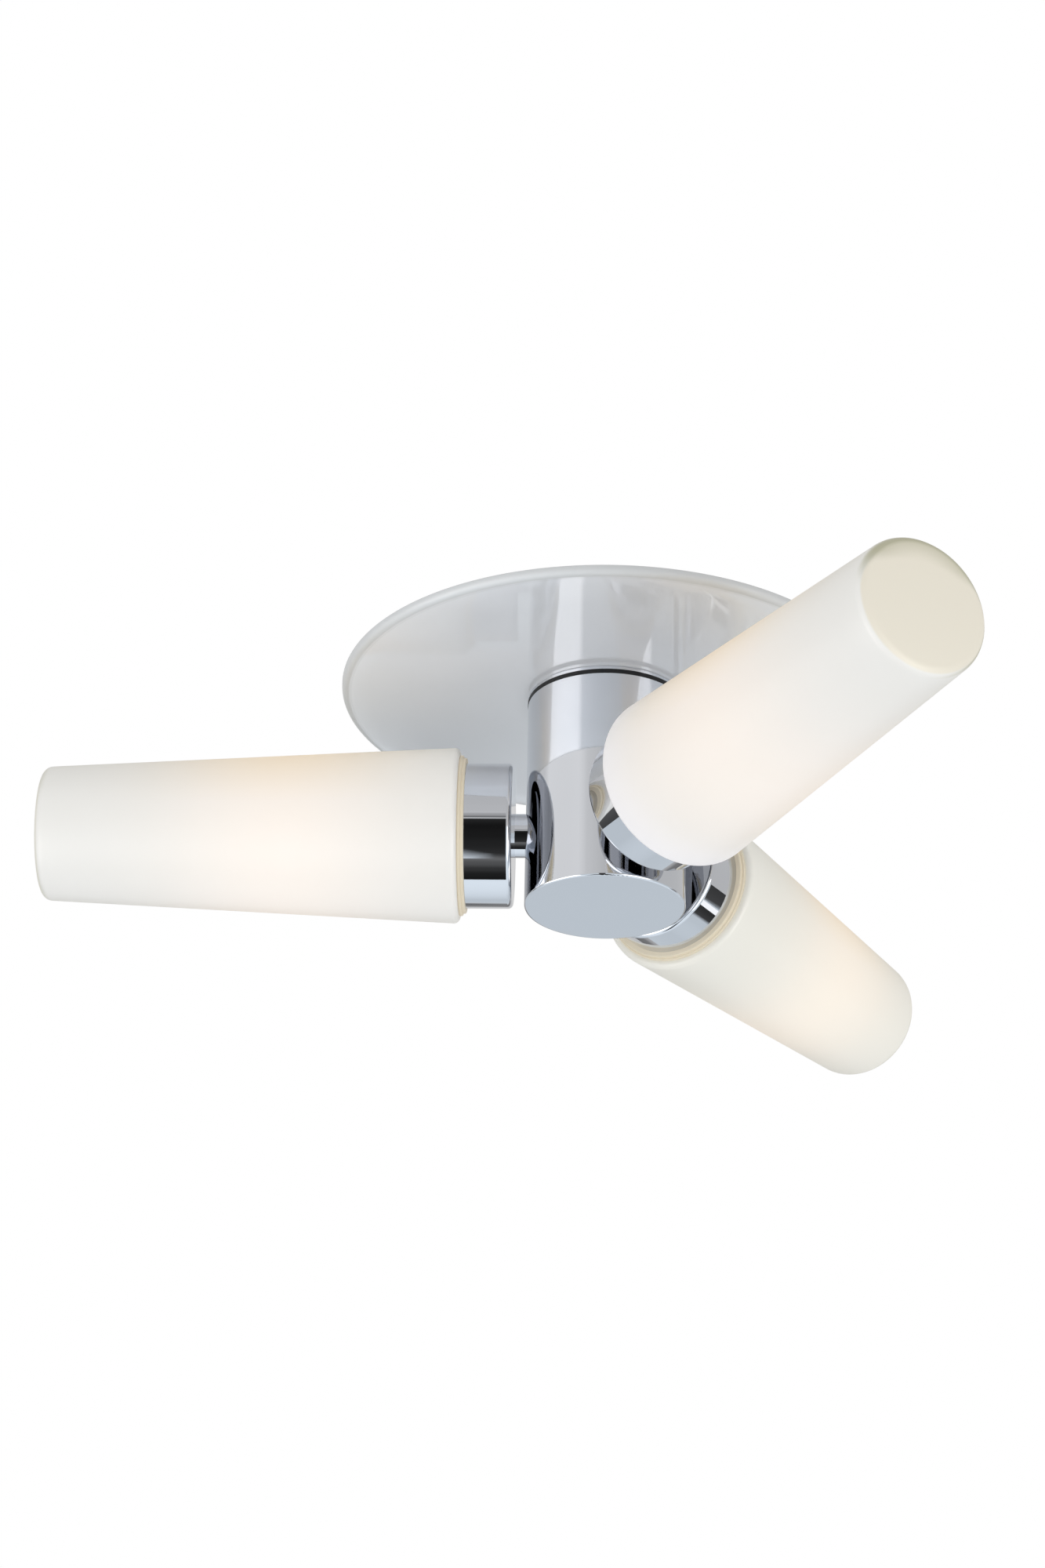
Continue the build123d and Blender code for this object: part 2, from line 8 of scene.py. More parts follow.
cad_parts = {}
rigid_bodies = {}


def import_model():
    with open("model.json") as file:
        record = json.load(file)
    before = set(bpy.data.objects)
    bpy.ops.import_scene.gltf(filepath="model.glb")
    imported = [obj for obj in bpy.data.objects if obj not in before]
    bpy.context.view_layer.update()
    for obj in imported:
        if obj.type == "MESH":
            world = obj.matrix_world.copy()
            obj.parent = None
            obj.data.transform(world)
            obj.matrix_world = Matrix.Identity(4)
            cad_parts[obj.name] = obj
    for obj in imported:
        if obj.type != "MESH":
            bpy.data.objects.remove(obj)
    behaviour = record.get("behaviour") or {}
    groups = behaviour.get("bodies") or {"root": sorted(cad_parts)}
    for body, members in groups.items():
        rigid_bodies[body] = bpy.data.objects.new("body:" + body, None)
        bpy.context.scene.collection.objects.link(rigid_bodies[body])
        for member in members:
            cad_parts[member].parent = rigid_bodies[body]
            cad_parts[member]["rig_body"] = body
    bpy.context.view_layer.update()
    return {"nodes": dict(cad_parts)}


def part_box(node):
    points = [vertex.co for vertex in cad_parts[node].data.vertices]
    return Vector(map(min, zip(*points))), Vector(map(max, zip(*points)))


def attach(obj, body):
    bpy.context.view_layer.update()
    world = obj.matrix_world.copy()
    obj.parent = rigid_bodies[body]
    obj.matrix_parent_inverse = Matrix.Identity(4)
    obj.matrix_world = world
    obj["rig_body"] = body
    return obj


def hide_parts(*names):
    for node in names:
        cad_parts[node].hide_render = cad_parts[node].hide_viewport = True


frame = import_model()
nodes = frame["nodes"]
mm = 0.001
print("frame loaded with", len(nodes), "nodes")

# The arms, by the names that they have in the frame
arms = {
    "degrees": {"left": 180, "front": 300, "back": 60},  # anticlockwise seen from above
    "level": sum(corner.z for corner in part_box("cup_left")) / 2,
}


# Colours are written as sRGB hex and turned to linear here
def linearColour(hexText):
    channels = [int(hexText[i:i + 2], 16) / 255 for i in (1, 3, 5)]
    return (*(c / 12.92 if c <= 0.04045 else ((c + 0.055) / 1.055) ** 2.4 for c in channels), 1)


# Fills one socket: with a value, with another node's output, or with a list of outputs where it takes several
def fillSocket(socket, value):
    for one in value if isinstance(value, list) else [value]:
        if isinstance(one, bpy.types.NodeSocket):
            socket.id_data.links.new(one, socket)
        else:
            socket.default_value = one


# Adds one node and gives back one of its outputs. Sockets are filled in order, or by name or number from a
# dictionary. A shader node goes by its short name, and a kind in capitals is an operation of the Math node
def addNode(tree, kind, *values, output=0, **settings):
    if kind.isupper():
        kind, settings["operation"] = "Math", kind
    node = tree.nodes.new(kind if "Node" in kind else "ShaderNode" + kind)
    for name, value in settings.items():
        setattr(node, name, value)
    sockets = values[0] if values and isinstance(values[0], dict) else dict(enumerate(values))
    for key, value in sockets.items():
        fillSocket(node.inputs[key], value)
    return node.outputs[output] if len(node.outputs) else None


def startMaterial(name):
    material = bpy.data.materials.new(name)
    material.use_nodes = True
    material.node_tree.nodes.clear()
    return material, partial(addNode, material.node_tree)


noiseReach = (0.3, 0.7)  # nearly all of a noise pattern lies between these


# What every finish has: two shades in soft clouds, a gloss that wanders with them, and a fine grain
def surfaceSockets(add, look):
    place = add("TexCoord", output="Object")
    cloud = add("TexNoise", {"Vector": place, "Scale": 1 / look["cloudSize"], "Detail": look["cloudDetail"]})
    grain = add("TexNoise", {"Vector": place, "Scale": 1 / look["grainSize"], "Detail": look["grainDetail"]})
    gloss = add("MapRange", {
        "Value": cloud, "From Min": noiseReach[0], "From Max": noiseReach[1],
        "To Min": look["roughness"][0], "To Max": look["roughness"][1]})
    first, second = [linearColour(colour) for colour in look["colours"]]
    tint = add("Mix", {"Factor": cloud, 6: first, 7: second}, output=2, data_type="RGBA")
    relief = {"Height": grain, "Distance": look["grainHeight"], "Strength": look["grainShare"]}
    if look["waveHeight"]:
        relief["Normal"] = add("Bump", {"Height": cloud, "Distance": look["waveHeight"], "Strength": 1})
    return {"Base Color": tint, "Roughness": gloss, "Normal": add("Bump", relief), **look["shader"]}


def makeSurface(name, look):
    material, add = startMaterial(name)
    add("OutputMaterial", {"Surface": add("BsdfPrincipled", surfaceSockets(add, look))})
    return material


# What chromed, plated and moulded surfaces have in common. A metal keeps the shader's own IOR. Buffing scratches,
# drawn lines and the grain of moulds are finer in truth, and are drawn as coarse as they need to be to show
chromed = {
    "cloudSize": 30 * mm, "cloudDetail": 2, "waveHeight": 0.012 * mm,
    "grainSize": 0.6 * mm, "grainDetail": 2, "grainHeight": 0.0004 * mm, "grainShare": 0.6,
}
plated = {
    "cloudSize": 2.5 * mm, "cloudDetail": 4, "waveHeight": 0,
    "grainSize": 0.4 * mm, "grainDetail": 2, "grainHeight": 0.003 * mm, "grainShare": 1,
    "shader": {"Metallic": 1},
}
moulded = {"cloudSize": 9 * mm, "cloudDetail": 2, "waveHeight": 0, "grainDetail": 3, "grainShare": 1}

surfaces = {
    # decorative chrome, buffed: a cool mirror, with the slow waviness that buffing leaves
    "buffedChrome": {
        **chromed, "colours": ("#cdcfd4", "#d0d2d6"), "roughness": (0.015, 0.035), "shader": {"Metallic": 1}},
    # bright zinc plate: bluish, with soft drawn lines, duller than chrome
    "brightZincOnPressedSteel": {**plated, "colours": ("#a9adb3", "#bfc1c4"), "roughness": (0.26, 0.4)},
    # steel blackened in hot oil: near black, with a dull metal sheen
    "blackenedSteel": {**plated, "colours": ("#2c2c2e", "#3a3a3c"), "roughness": (0.36, 0.5)},
    # turned brass: warm yellow, and glossier than the zinc beside it
    "turnedBrass": {**plated, "colours": ("#c8a45c", "#d9ba74"), "roughness": (0.2, 0.34)},
    # tinned wire: a soft pale grey with hardly any blue
    "tinnedWire": {**plated, "colours": ("#b9bbbd", "#c9cacb"), "roughness": (0.24, 0.38)},
    # moulded rubber: matt black with only a broad, weak highlight
    "mouldedBlackRubber": {
        **moulded, "colours": ("#08080a", "#101012"), "roughness": (0.45, 0.56),
        "grainSize": 0.5 * mm, "grainHeight": 0.01 * mm, "shader": {"IOR": 1.4}},
    # moulded silicone: smooth cream, with a painted glow that stands in for the lamp's light passing through it
    "mouldedSilicone": {
        **moulded, "colours": ("#dbd3bd", "#d6cdb6"), "roughness": (0.45, 0.56),
        "grainSize": 0.6 * mm, "grainHeight": 0.002 * mm,
        "shader": {"IOR": 1.41, "Emission Color": linearColour("#ffe4c8"), "Emission Strength": 0.09}},
    # pressed ceramic without glaze: dry off-white, with a coarse grain and no highlight
    "pressedUnglazedCeramic": {
        **moulded, "colours": ("#e9e6dd", "#dfdbd0"), "roughness": (0.67, 0.78),
        "grainSize": 0.35 * mm, "grainHeight": 0.03 * mm, "shader": {"IOR": 1.5}},
    # moulded nylon: milky white with a soft, slightly pebbled sheen
    "mouldedNylon": {
        **moulded, "colours": ("#ecebe6", "#e4e2da"), "roughness": (0.39, 0.5),
        "grainSize": 0.5 * mm, "grainHeight": 0.008 * mm, "shader": {"IOR": 1.53}},
    # moulded polycarbonate: clean white, and the glossiest of the plastics
    "mouldedPolycarbonate": {
        **moulded, "colours": ("#f0efec", "#eae8e3"), "roughness": (0.25, 0.36),
        "grainSize": 0.8 * mm, "grainHeight": 0.003 * mm, "shader": {"IOR": 1.585}},
    # frosted polycarbonate over the lamp's lights: cream and even, glowing a little
    "frostedPolycarbonate": {
        **moulded, "colours": ("#f6efe0", "#f2e8d4"), "roughness": (0.45, 0.56),
        "grainSize": 0.5 * mm, "grainHeight": 0.008 * mm,
        "shader": {"IOR": 1.585, "Emission Color": linearColour("#ffd9a8"), "Emission Strength": 0.14}},
    # sleeving braided from glass fibre: dull off-white, and coarse to the eye
    "glassFibreSleeve": {
        **moulded, "colours": ("#e2ddd2", "#cfc8ba"), "roughness": (0.65, 0.76),
        "grainSize": 0.45 * mm, "grainHeight": 0.05 * mm, "shader": {"IOR": 1.5}},
}

# The plate's chrome, brushed to satin under clear lacquer: a pale haze with a faint sharp mirror image on it
satinChrome = {
    **chromed,
    "colours": ("#e1e3e6", "#e4e6e9"),
    "roughness": (0.58, 0.66),
    "paintedLightNearHub": "#f0f1f3",  # paler under the hub's edge: painted light, which also brightens the plate's mirror image in the hub
    "paintedLightNearHubFades": (36 * mm, 78 * mm),
    "rimPaintedShade": "#cfd1d2",  # the spun rim, hardly lacquered, and darkened as painted shade on its rounding
    "rimLacquer": 0.12,
    "rimStarts": (97.9 * mm, 98.7 * mm),
    "rimLine": 97.7 * mm,  # a thin line of painted shade just inside the rim
    "rimLineHalf": 0.5 * mm,
    "rimLineShare": 0.35,
    # what isn't metal here scatters, as brushing under lacquer does
    "shader": {"Metallic": 0.45, "Coat Weight": 1, "Coat Roughness": 0.04, "Coat IOR": 1.65},
}


def makeSatinChrome(name, look):
    material, add = startMaterial(name)
    sockets = surfaceSockets(add, look)
    radius = add("VectorMath", add("TexCoord", output="Object"), operation="LENGTH", output="Value")
    # painted light: the plate paler near the hub, fading outwards
    outward = add("MapRange", {
        "Value": radius, "From Min": look["paintedLightNearHubFades"][0], "From Max": look["paintedLightNearHubFades"][1]})
    # painted shade: the rim and a thin line inside it take a darker colour
    onRim = add("MapRange", {"Value": radius, "From Min": look["rimStarts"][0], "From Max": look["rimStarts"][1]})
    besideLine = add("ABSOLUTE", add("SUBTRACT", radius, look["rimLine"]))
    onLine = add("MapRange", {
        "Value": besideLine, "From Max": look["rimLineHalf"], "To Min": look["rimLineShare"], "To Max": 0})
    tint = add("Mix", {
        "Factor": outward, 6: linearColour(look["paintedLightNearHub"]), 7: sockets["Base Color"]}, output=2, data_type="RGBA")
    sockets["Base Color"] = add("Mix", {
        "Factor": add("MAXIMUM", onRim, onLine), 6: tint, 7: linearColour(look["rimPaintedShade"])},
        output=2, data_type="RGBA")
    shader = add("BsdfPrincipled", sockets)
    lacquer = add("MapRange", {
        "Value": onRim, "To Min": look["shader"]["Coat Weight"], "To Max": look["rimLacquer"]})
    fillSocket(shader.node.inputs["Coat Weight"], lacquer)
    add("OutputMaterial", {"Surface": shader})
    return material


# Opal glass, blown in a mould and satin etched: milky white with a soft sheen, and warm near the lamp. Its closed
# end is olive along the upper edge, as painted shade and where the eye looks along the glass, and cream on the flat
opalGlass = {
    "colours": ("#f5f4f0", "#f2f1ec"),
    "roughness": (0.36, 0.44),
    "cloudSize": 22 * mm,
    "cloudDetail": 2,
    "waveHeight": 0,
    "grainSize": 0.5 * mm,  # the etched grain is finer still, drawn as coarse as it shows
    "grainDetail": 2,
    "grainHeight": 0.004 * mm,
    "grainShare": 1,
    "shader": {},
    # painted shade and bounced light, on the back glass
    "paintedShadeCreamColour": "#f3f0e2",
    "edgeColour": "#dddacb",  # where the eye looks along the wall
    "edgePower": 5,
    "edgeShare": 0.5,
    # painted light, whiter near the shoulder
    "paintedShoulderLightColour": "#fcfcfe",
    "tipEdgeGlassAndShadeColour": "#bab89e",
    "tipEdgeStarts": (0.1, 0.8),  # shares of the way round the end's rounding
    "tipEdgeReach": 0.31,  # how far the olive painted shade reaches over the flat, on the upper side
    "upperSide": (0, 0.5),  # heights over the axis, as shares of the shoulder's radius
    "turnedAway": (0.35, 0.75),  # how far the surface turns from the eye
    "tipColour": "#eee8d8",
    "tipStarts": (0.64, 0.86),
    "paintedLampLightColour": "#f5e8c6",  # painted lamp light, over the lamp, on the upper side where less studio light falls
    "paintedLampLightShare": 0.8,
    "glowBelow": "#ffcc9e",
    "glowAbove": "#ffb45c",
    "glowStrength": 0.15,
}


def makeOpalGlass(name, look):
    material, add = startMaterial(name)
    sockets = surfaceSockets(add, look)
    lampLight, shareOfTip, upward, cream, casing, milk = [
        add("Attribute", output="Fac", attribute_name=stored)
        for stored in ("lampLight", "shareOfTip", "upward", "cream", "casing", "milk")]
    facing = add("LayerWeight", {"Blend": 0.5}, output="Facing")
    rim = add("MULTIPLY", add("POWER", facing, look["edgePower"]), look["edgeShare"])
    atRounding, lifted, turned = [
        add("MapRange", {"Value": value, "From Min": starts, "From Max": ends}, interpolation_type="SMOOTHSTEP")
        for value, (starts, ends) in ((shareOfTip, look["tipEdgeStarts"]), (upward, look["upperSide"]),
                                      (facing, look["turnedAway"]))]
    # painted shade: olive on the end's rounding, on the upper side and where the eye looks along the glass
    olive = add("MULTIPLY", atRounding, add("MAXIMUM", lifted, turned))
    reach = add("MULTIPLY_ADD", lifted, -look["tipEdgeReach"], shareOfTip)
    onFlat = add("MapRange", {
        "Value": reach, "From Min": look["tipStarts"][0], "From Max": look["tipStarts"][1]},
        interpolation_type="SMOOTHSTEP")
    # painted lamp light: warmer on the upper side, over the lamp
    warm = add("MapRange", {"Value": upward, "To Max": look["paintedLampLightShare"]})
    layers = (
        (cream, "paintedShadeCreamColour"),
        (rim, "edgeColour"),
        (milk, "paintedShoulderLightColour"),
        (add("MULTIPLY", casing, olive), "tipEdgeGlassAndShadeColour"),
        (add("MULTIPLY", casing, onFlat), "tipColour"),
        (add("MULTIPLY", warm, lampLight), "paintedLampLightColour"),
    )
    for share, colour in layers:
        sockets["Base Color"] = add("Mix", {
            "Factor": share, 6: sockets["Base Color"], 7: linearColour(look[colour])}, output=2, data_type="RGBA")
    height = add("MapRange", {"Value": upward, "From Min": -1})
    sockets["Emission Strength"] = add("MULTIPLY", lampLight, look["glowStrength"])
    sockets["Emission Color"] = add("Mix", {
        "Factor": height, 6: linearColour(look["glowBelow"]), 7: linearColour(look["glowAbove"])},
        output=2, data_type="RGBA")
    add("OutputMaterial", {"Surface": add("BsdfPrincipled", sockets)})
    return material


finishes = {name: makeSurface(name, look) for name, look in surfaces.items()}
finishes["satinChromeUnderLacquer"] = makeSatinChrome("satinChromeUnderLacquer", satinChrome)
finishes["satinOpalGlass"] = makeOpalGlass("satinOpalGlass", opalGlass)
print("materials made:", len(finishes))

# Which finish each CAD node shows, also under the pieces that take a node's place
nodeFinishes = {
    "buffedChrome": ["hub_collar", "hub_can", "arm_spacer", "cup"],
    "satinChromeUnderLacquer": ["ceiling_plate"],
    "brightZincOnPressedSteel": [
        "backing_disc", "collar_rivets", "terminal_bracket", "terminal_screws", "block_screw", "arm_nipples",
        "hub_nuts", "cup_nuts", "holder_screws", "stirrup"],
    "blackenedSteel": ["hub_set_screws"],
    "turnedBrass": ["earth_screw", "terminal_sleeves"],
    "tinnedWire": ["lamp_pins"],
    "mouldedBlackRubber": ["cable_grommet", "hub_seal"],
    "mouldedSilicone": ["seal_ring"],
    "pressedUnglazedCeramic": ["lampholder"],
    "mouldedNylon": ["terminal_block"],
    "mouldedPolycarbonate": ["lamp_base"],
    "frostedPolycarbonate": ["lamp_envelope"],
    "glassFibreSleeve": ["leads"],
    "satinOpalGlass": ["shade"],
}
for finish, starts in nodeFinishes.items():
    for start in starts:
        for name in [start] + [f"{start}_{side}" for side in arms["degrees"]]:
            if name in nodes:
                for holder in nodes[name].material_slots:
                    holder.material = finishes[finish]
print("every node has its finish")

# How finely every turned piece is drawn
turning = {
    "filletPoints": 6,
    "stepsPerPitch": 8,
    "sameRadius": 0.02 * mm,  # within this of the thread's radius, a point is on the thread
    "fadePitches": 0.5,  # a thread dies away over this many pitches at both ends
    "weldDistance": 0.002 * mm,
    "sharpDegrees": 32,
}


# Starts a tree with a named input for each size
def startTree(name, sizes):
    tree = bpy.data.node_groups.new(name, "GeometryNodeTree")
    kinds = {**{label: "Float" for label in sizes}, "Around": "Int", "Places": "Object", "Finish": "Material"}
    for label, kind in kinds.items():
        tree.interface.new_socket(label, in_out="INPUT", socket_type="NodeSocket" + kind)
    tree.interface.new_socket("Geometry", in_out="OUTPUT", socket_type="NodeSocketGeometry")
    add = partial(addNode, tree)
    return add, add("NodeGroupInput").node.outputs


# The profile as a line. Its corners are distance along the X axis, radius and rounding, from the far end round
# to the near one
def profileLine(add, corners):
    index = add("GeometryNodeInputIndex")
    places, roundings = [add("GeometryNodeIndexSwitch", data_type=kind).node for kind in ("VECTOR", "FLOAT")]
    for switch in (places, roundings):
        while len(switch.index_switch_items) < len(corners):
            switch.index_switch_items.new()
        fillSocket(switch.inputs["Index"], index)
    for i, (distance, radius, rounding) in enumerate(corners, 1):
        fillSocket(places.inputs[i], add("CombineXYZ", {"X": distance, "Y": radius}))
        fillSocket(roundings.inputs[i], rounding)
    line = add("GeometryNodeMeshLine", {"Count": len(corners)})
    line = add("GeometryNodeStoreNamedAttribute", {
        "Geometry": line, "Name": "rounding", "Value": roundings.outputs[0]}, data_type="FLOAT", domain="POINT")
    line = add("GeometryNodeSetPosition", {"Geometry": line, "Position": places.outputs[0]})
    rounding = add("GeometryNodeInputNamedAttribute", {"Name": "rounding"}, data_type="FLOAT")
    return add("GeometryNodeFilletCurve", {
        "Curve": add("GeometryNodeMeshToCurve", {"Mesh": line}), "Radius": rounding, "Limit Radius": True,
        "Count": turning["filletPoints"]}, mode="POLY")


# Spins a profile about the X axis. A thread is raised or cut where the radius is the thread's own, and flats
# are cut where they lie inside the outline, so a chamfered blank turns into a nut
def spunSkin(add, given, corners, thread=None, flats=None):
    outline = profileLine(add, corners)
    index, position = add("GeometryNodeInputIndex"), add("GeometryNodeInputPosition")
    following = add("GeometryNodeOffsetPointInCurve", {"Point Index": index, "Offset": 1}, output="Point Index")
    nextPlace = add("GeometryNodeFieldAtIndex", {"Index": following, "Value": position},
                    data_type="FLOAT_VECTOR", domain="POINT")
    run = add("VectorMath", position, nextPlace, operation="DISTANCE", output="Value")
    step = given["Longest Edge"]
    if thread:
        here = add("SeparateXYZ", {"Vector": position}, output="Y")
        onThread = add("COMPARE", here, thread["radius"], turning["sameRadius"])
        fine = add("DIVIDE", thread["pitch"], turning["stepsPerPitch"])
        step = add("Mix", {"Factor": onThread, 2: step, 3: fine}, data_type="FLOAT")
    cuts = add("FLOOR", add("DIVIDE", run, step))
    profile = add("GeometryNodeCurveToMesh", {
        "Curve": add("GeometryNodeSubdivideCurve", {"Curve": outline, "Cuts": cuts})})
    points = add("GeometryNodeAttributeDomainSize", {"Geometry": profile}, output="Point Count")
    columns = add("ADD", given["Around"], 1)
    grid = add("GeometryNodeMeshGrid", {"Size X": 1, "Size Y": 1, "Vertices X": points, "Vertices Y": columns})
    row = add("FLOOR", add("DIVIDE", index, columns))
    turn = add("DIVIDE", add("SUBTRACT", index, add("MULTIPLY", row, columns)), given["Around"])
    sample = add("GeometryNodeSampleIndex", {"Geometry": profile, "Value": position, "Index": row},
                 data_type="FLOAT_VECTOR", domain="POINT")
    along, radius, _ = add("SeparateXYZ", {"Vector": sample}).node.outputs
    angle = add("MULTIPLY", turn, math.tau)
    if thread:
        # right handed, and dying away at both ends
        phase = add("MULTIPLY", add("SUBTRACT", add("DIVIDE", along, thread["pitch"]), turn), math.tau)
        crest = add("POWER", add("MULTIPLY_ADD", add("COSINE", phase), 0.5, 0.5), thread["sharpness"])
        fromStart = add("DIVIDE", add("SUBTRACT", along, thread["start"]), thread["pitch"])
        toStop = add("DIVIDE", add("SUBTRACT", thread["stop"], along), thread["pitch"])
        inside = add("Clamp", add("MULTIPLY", add("MINIMUM", fromStart, toStop), 1 / turning["fadePitches"]))
        onThread = add("COMPARE", radius, thread["radius"], turning["sameRadius"])
        raised = add("MULTIPLY", add("MULTIPLY", crest, thread["height"]), add("MULTIPLY", inside, onThread))
        radius = add("ADD", radius, raised)
    if flats is not None:
        sixth = math.tau / 6
        within = add("SUBTRACT", add("FLOORED_MODULO", angle, sixth), sixth / 2)
        radius = add("MINIMUM", radius, add("DIVIDE", flats, add("COSINE", within)))
    turned = add("CombineXYZ", along, add("MULTIPLY", radius, add("COSINE", angle)),
                 add("MULTIPLY", radius, add("SINE", angle)))
    return add("GeometryNodeSetPosition", {"Geometry": grid, "Position": turned}), along


# Ends a tree: welds the seam, cuts the drive, keeps sharp corners sharp and copies the piece to its places
def finishTree(add, given, skin, drive=None):
    skin = add("GeometryNodeMergeByDistance", {"Geometry": skin, "Distance": turning["weldDistance"]})
    if drive is not None:
        skin = add("GeometryNodeMeshBoolean", {"Mesh 1": skin, "Mesh 2": drive},
                   operation="DIFFERENCE", solver="EXACT", output="Mesh")
    skin = add("GeometryNodeSetShadeSmooth", {"Geometry": skin})
    bend = add("GeometryNodeInputMeshEdgeAngle", output="Unsigned Angle")
    sharp = add("GREATER_THAN", bend, math.radians(turning["sharpDegrees"]))
    skin = add("GeometryNodeSetShadeSmooth", {
        "Geometry": skin, "Selection": sharp, "Shade Smooth": False}, domain="EDGE")
    spots = add("GeometryNodeObjectInfo", {"Object": given["Places"]}, output="Geometry")
    turns = add("GeometryNodeInputNamedAttribute", {"Name": "turn"}, data_type="QUATERNION")
    copies = add("GeometryNodeInstanceOnPoints", {"Points": spots, "Instance": skin, "Rotation": turns})
    copies = add("GeometryNodeRealizeInstances", {"Geometry": copies})
    copies = add("GeometryNodeSetMaterial", {"Geometry": copies, "Material": given["Finish"]})
    add("NodeGroupOutput", {"Geometry": copies})
    return copies.id_data  # the tree itself


# A helper whose points say where copies stand, each with the way that its X axis faces
def makePlaces(spots):
    mesh = bpy.data.meshes.new("places")
    mesh.from_pydata([place for place, _ in spots], [], [])
    turns = mesh.attributes.new("turn", "QUATERNION", "POINT")
    for point, (_, aim) in zip(turns.data, spots):
        ahead = Vector(aim).normalized()
        upright = Vector((0, 0, 1)) if abs(ahead.z) < 0.9 else Vector((1, 0, 0))
        across = upright.cross(ahead).normalized()
        point.value = Matrix((ahead, across, ahead.cross(across))).transposed().to_quaternion()
    places = bpy.data.objects.new("places", mesh)
    bpy.context.scene.collection.objects.link(places)
    return places


# Runs a tree with its named inputs, keeps the result as a plain mesh in the node's finish, and puts it in the
# node's place
def addPiece(name, tree, values, spots, node):
    places, finish = makePlaces(spots), nodes[node].material_slots[0].material
    holder = bpy.data.objects.new(name + "Maker", bpy.data.meshes.new(name + "Maker"))
    bpy.context.scene.collection.objects.link(holder)
    modifier = holder.modifiers.new(tree.name, "NODES")
    modifier.node_group = tree
    sockets = {item.name: item.identifier for item in tree.interface.items_tree if item.item_type == "SOCKET"}
    for label, value in {**values, "Places": places, "Finish": finish}.items():
        modifier[sockets[label]] = value
    bpy.context.view_layer.update()
    graph = bpy.context.evaluated_depsgraph_get()
    mesh = bpy.data.meshes.new_from_object(holder.evaluated_get(graph), depsgraph=graph)
    holder.modifiers.remove(modifier)
    for helper in (holder, places):
        bpy.data.objects.remove(helper)
    mesh.name = name
    piece = bpy.data.objects.new(name, mesh)
    bpy.context.scene.collection.objects.link(piece)
    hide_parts(node)
    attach(piece, nodes[node]["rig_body"])
    print(name, len(mesh.polygons), "faces")


centre = [((0, 0, 0), (0, 0, 1))]  # the place of a piece that is turned about the hub's own axis


# A place on an arm's axis, at a distance from the hub's, with the way that the arm points
def onArm(side, distance=0):
    turn = math.radians(arms["degrees"][side])
    aim = Vector((math.cos(turn), math.sin(turn), 0))
    return aim * distance + Vector((0, 0, arms["level"])), aim


# Opal glass shade, blown in a mould: a rounded shoulder, a slightly crowned end and a neck with a moulded bead
glassLow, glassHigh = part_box("shade_left")
ringLow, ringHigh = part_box("seal_ring_left")
shade = {
    "Shoulder Distance": -ringLow.x,
    "Shoulder Radius": (glassHigh.z - glassLow.z) / 2,
    "Shoulder Rounding": 2.2 * mm,
    "Length": ringLow.x - glassLow.x - 1 * mm,
    "Tip Radius": 25.1 * mm,
    "Tip Rounding": 3.6 * mm,
    "Crown": 1 * mm,
    "Wall": 2.6 * mm,
    "Neck Radius": 25.9 * mm,
    "Neck Length": glassHigh.x - ringLow.x,
    "Thread Pitch": 4 * mm,
    "Thread Height": 0.24 * mm,
    "Thread Sharpness": 2.5,
    "Fold Rounding": 0.8 * mm,
    "Crown Rounding": 150 * mm,
    "Inside Rounding": 1.4 * mm,
    "Lip Rounding": 1.1 * mm,
    "Painted Shoulder Light Reach": 15 * mm,
    "Around": 128,
    "Longest Edge": 8 * mm,
}
glasses = {  # what differs between the three glasses: their glow, the tint of their ends, and painted light and shade
    "Glow Distance": {"left": 120 * mm, "front": 117 * mm, "back": 144 * mm},  # where each shines most
    "Glow Spread": {"left": 42 * mm, "front": 50 * mm, "back": 43 * mm},
    "Casing": {"left": 0.35, "front": 1.0, "back": 0.6},  # how strongly each closed end takes its olive painted shade and its cream flat
    "Cream": {"left": 0.0, "front": 0.0, "back": 0.55},  # a cream tint of painted shade and of the warm light that the other glasses throw on it
    "Milk": {"left": 0.0, "front": 1.0, "back": 0.0},  # how much painted light whitens the glass near its shoulder
}


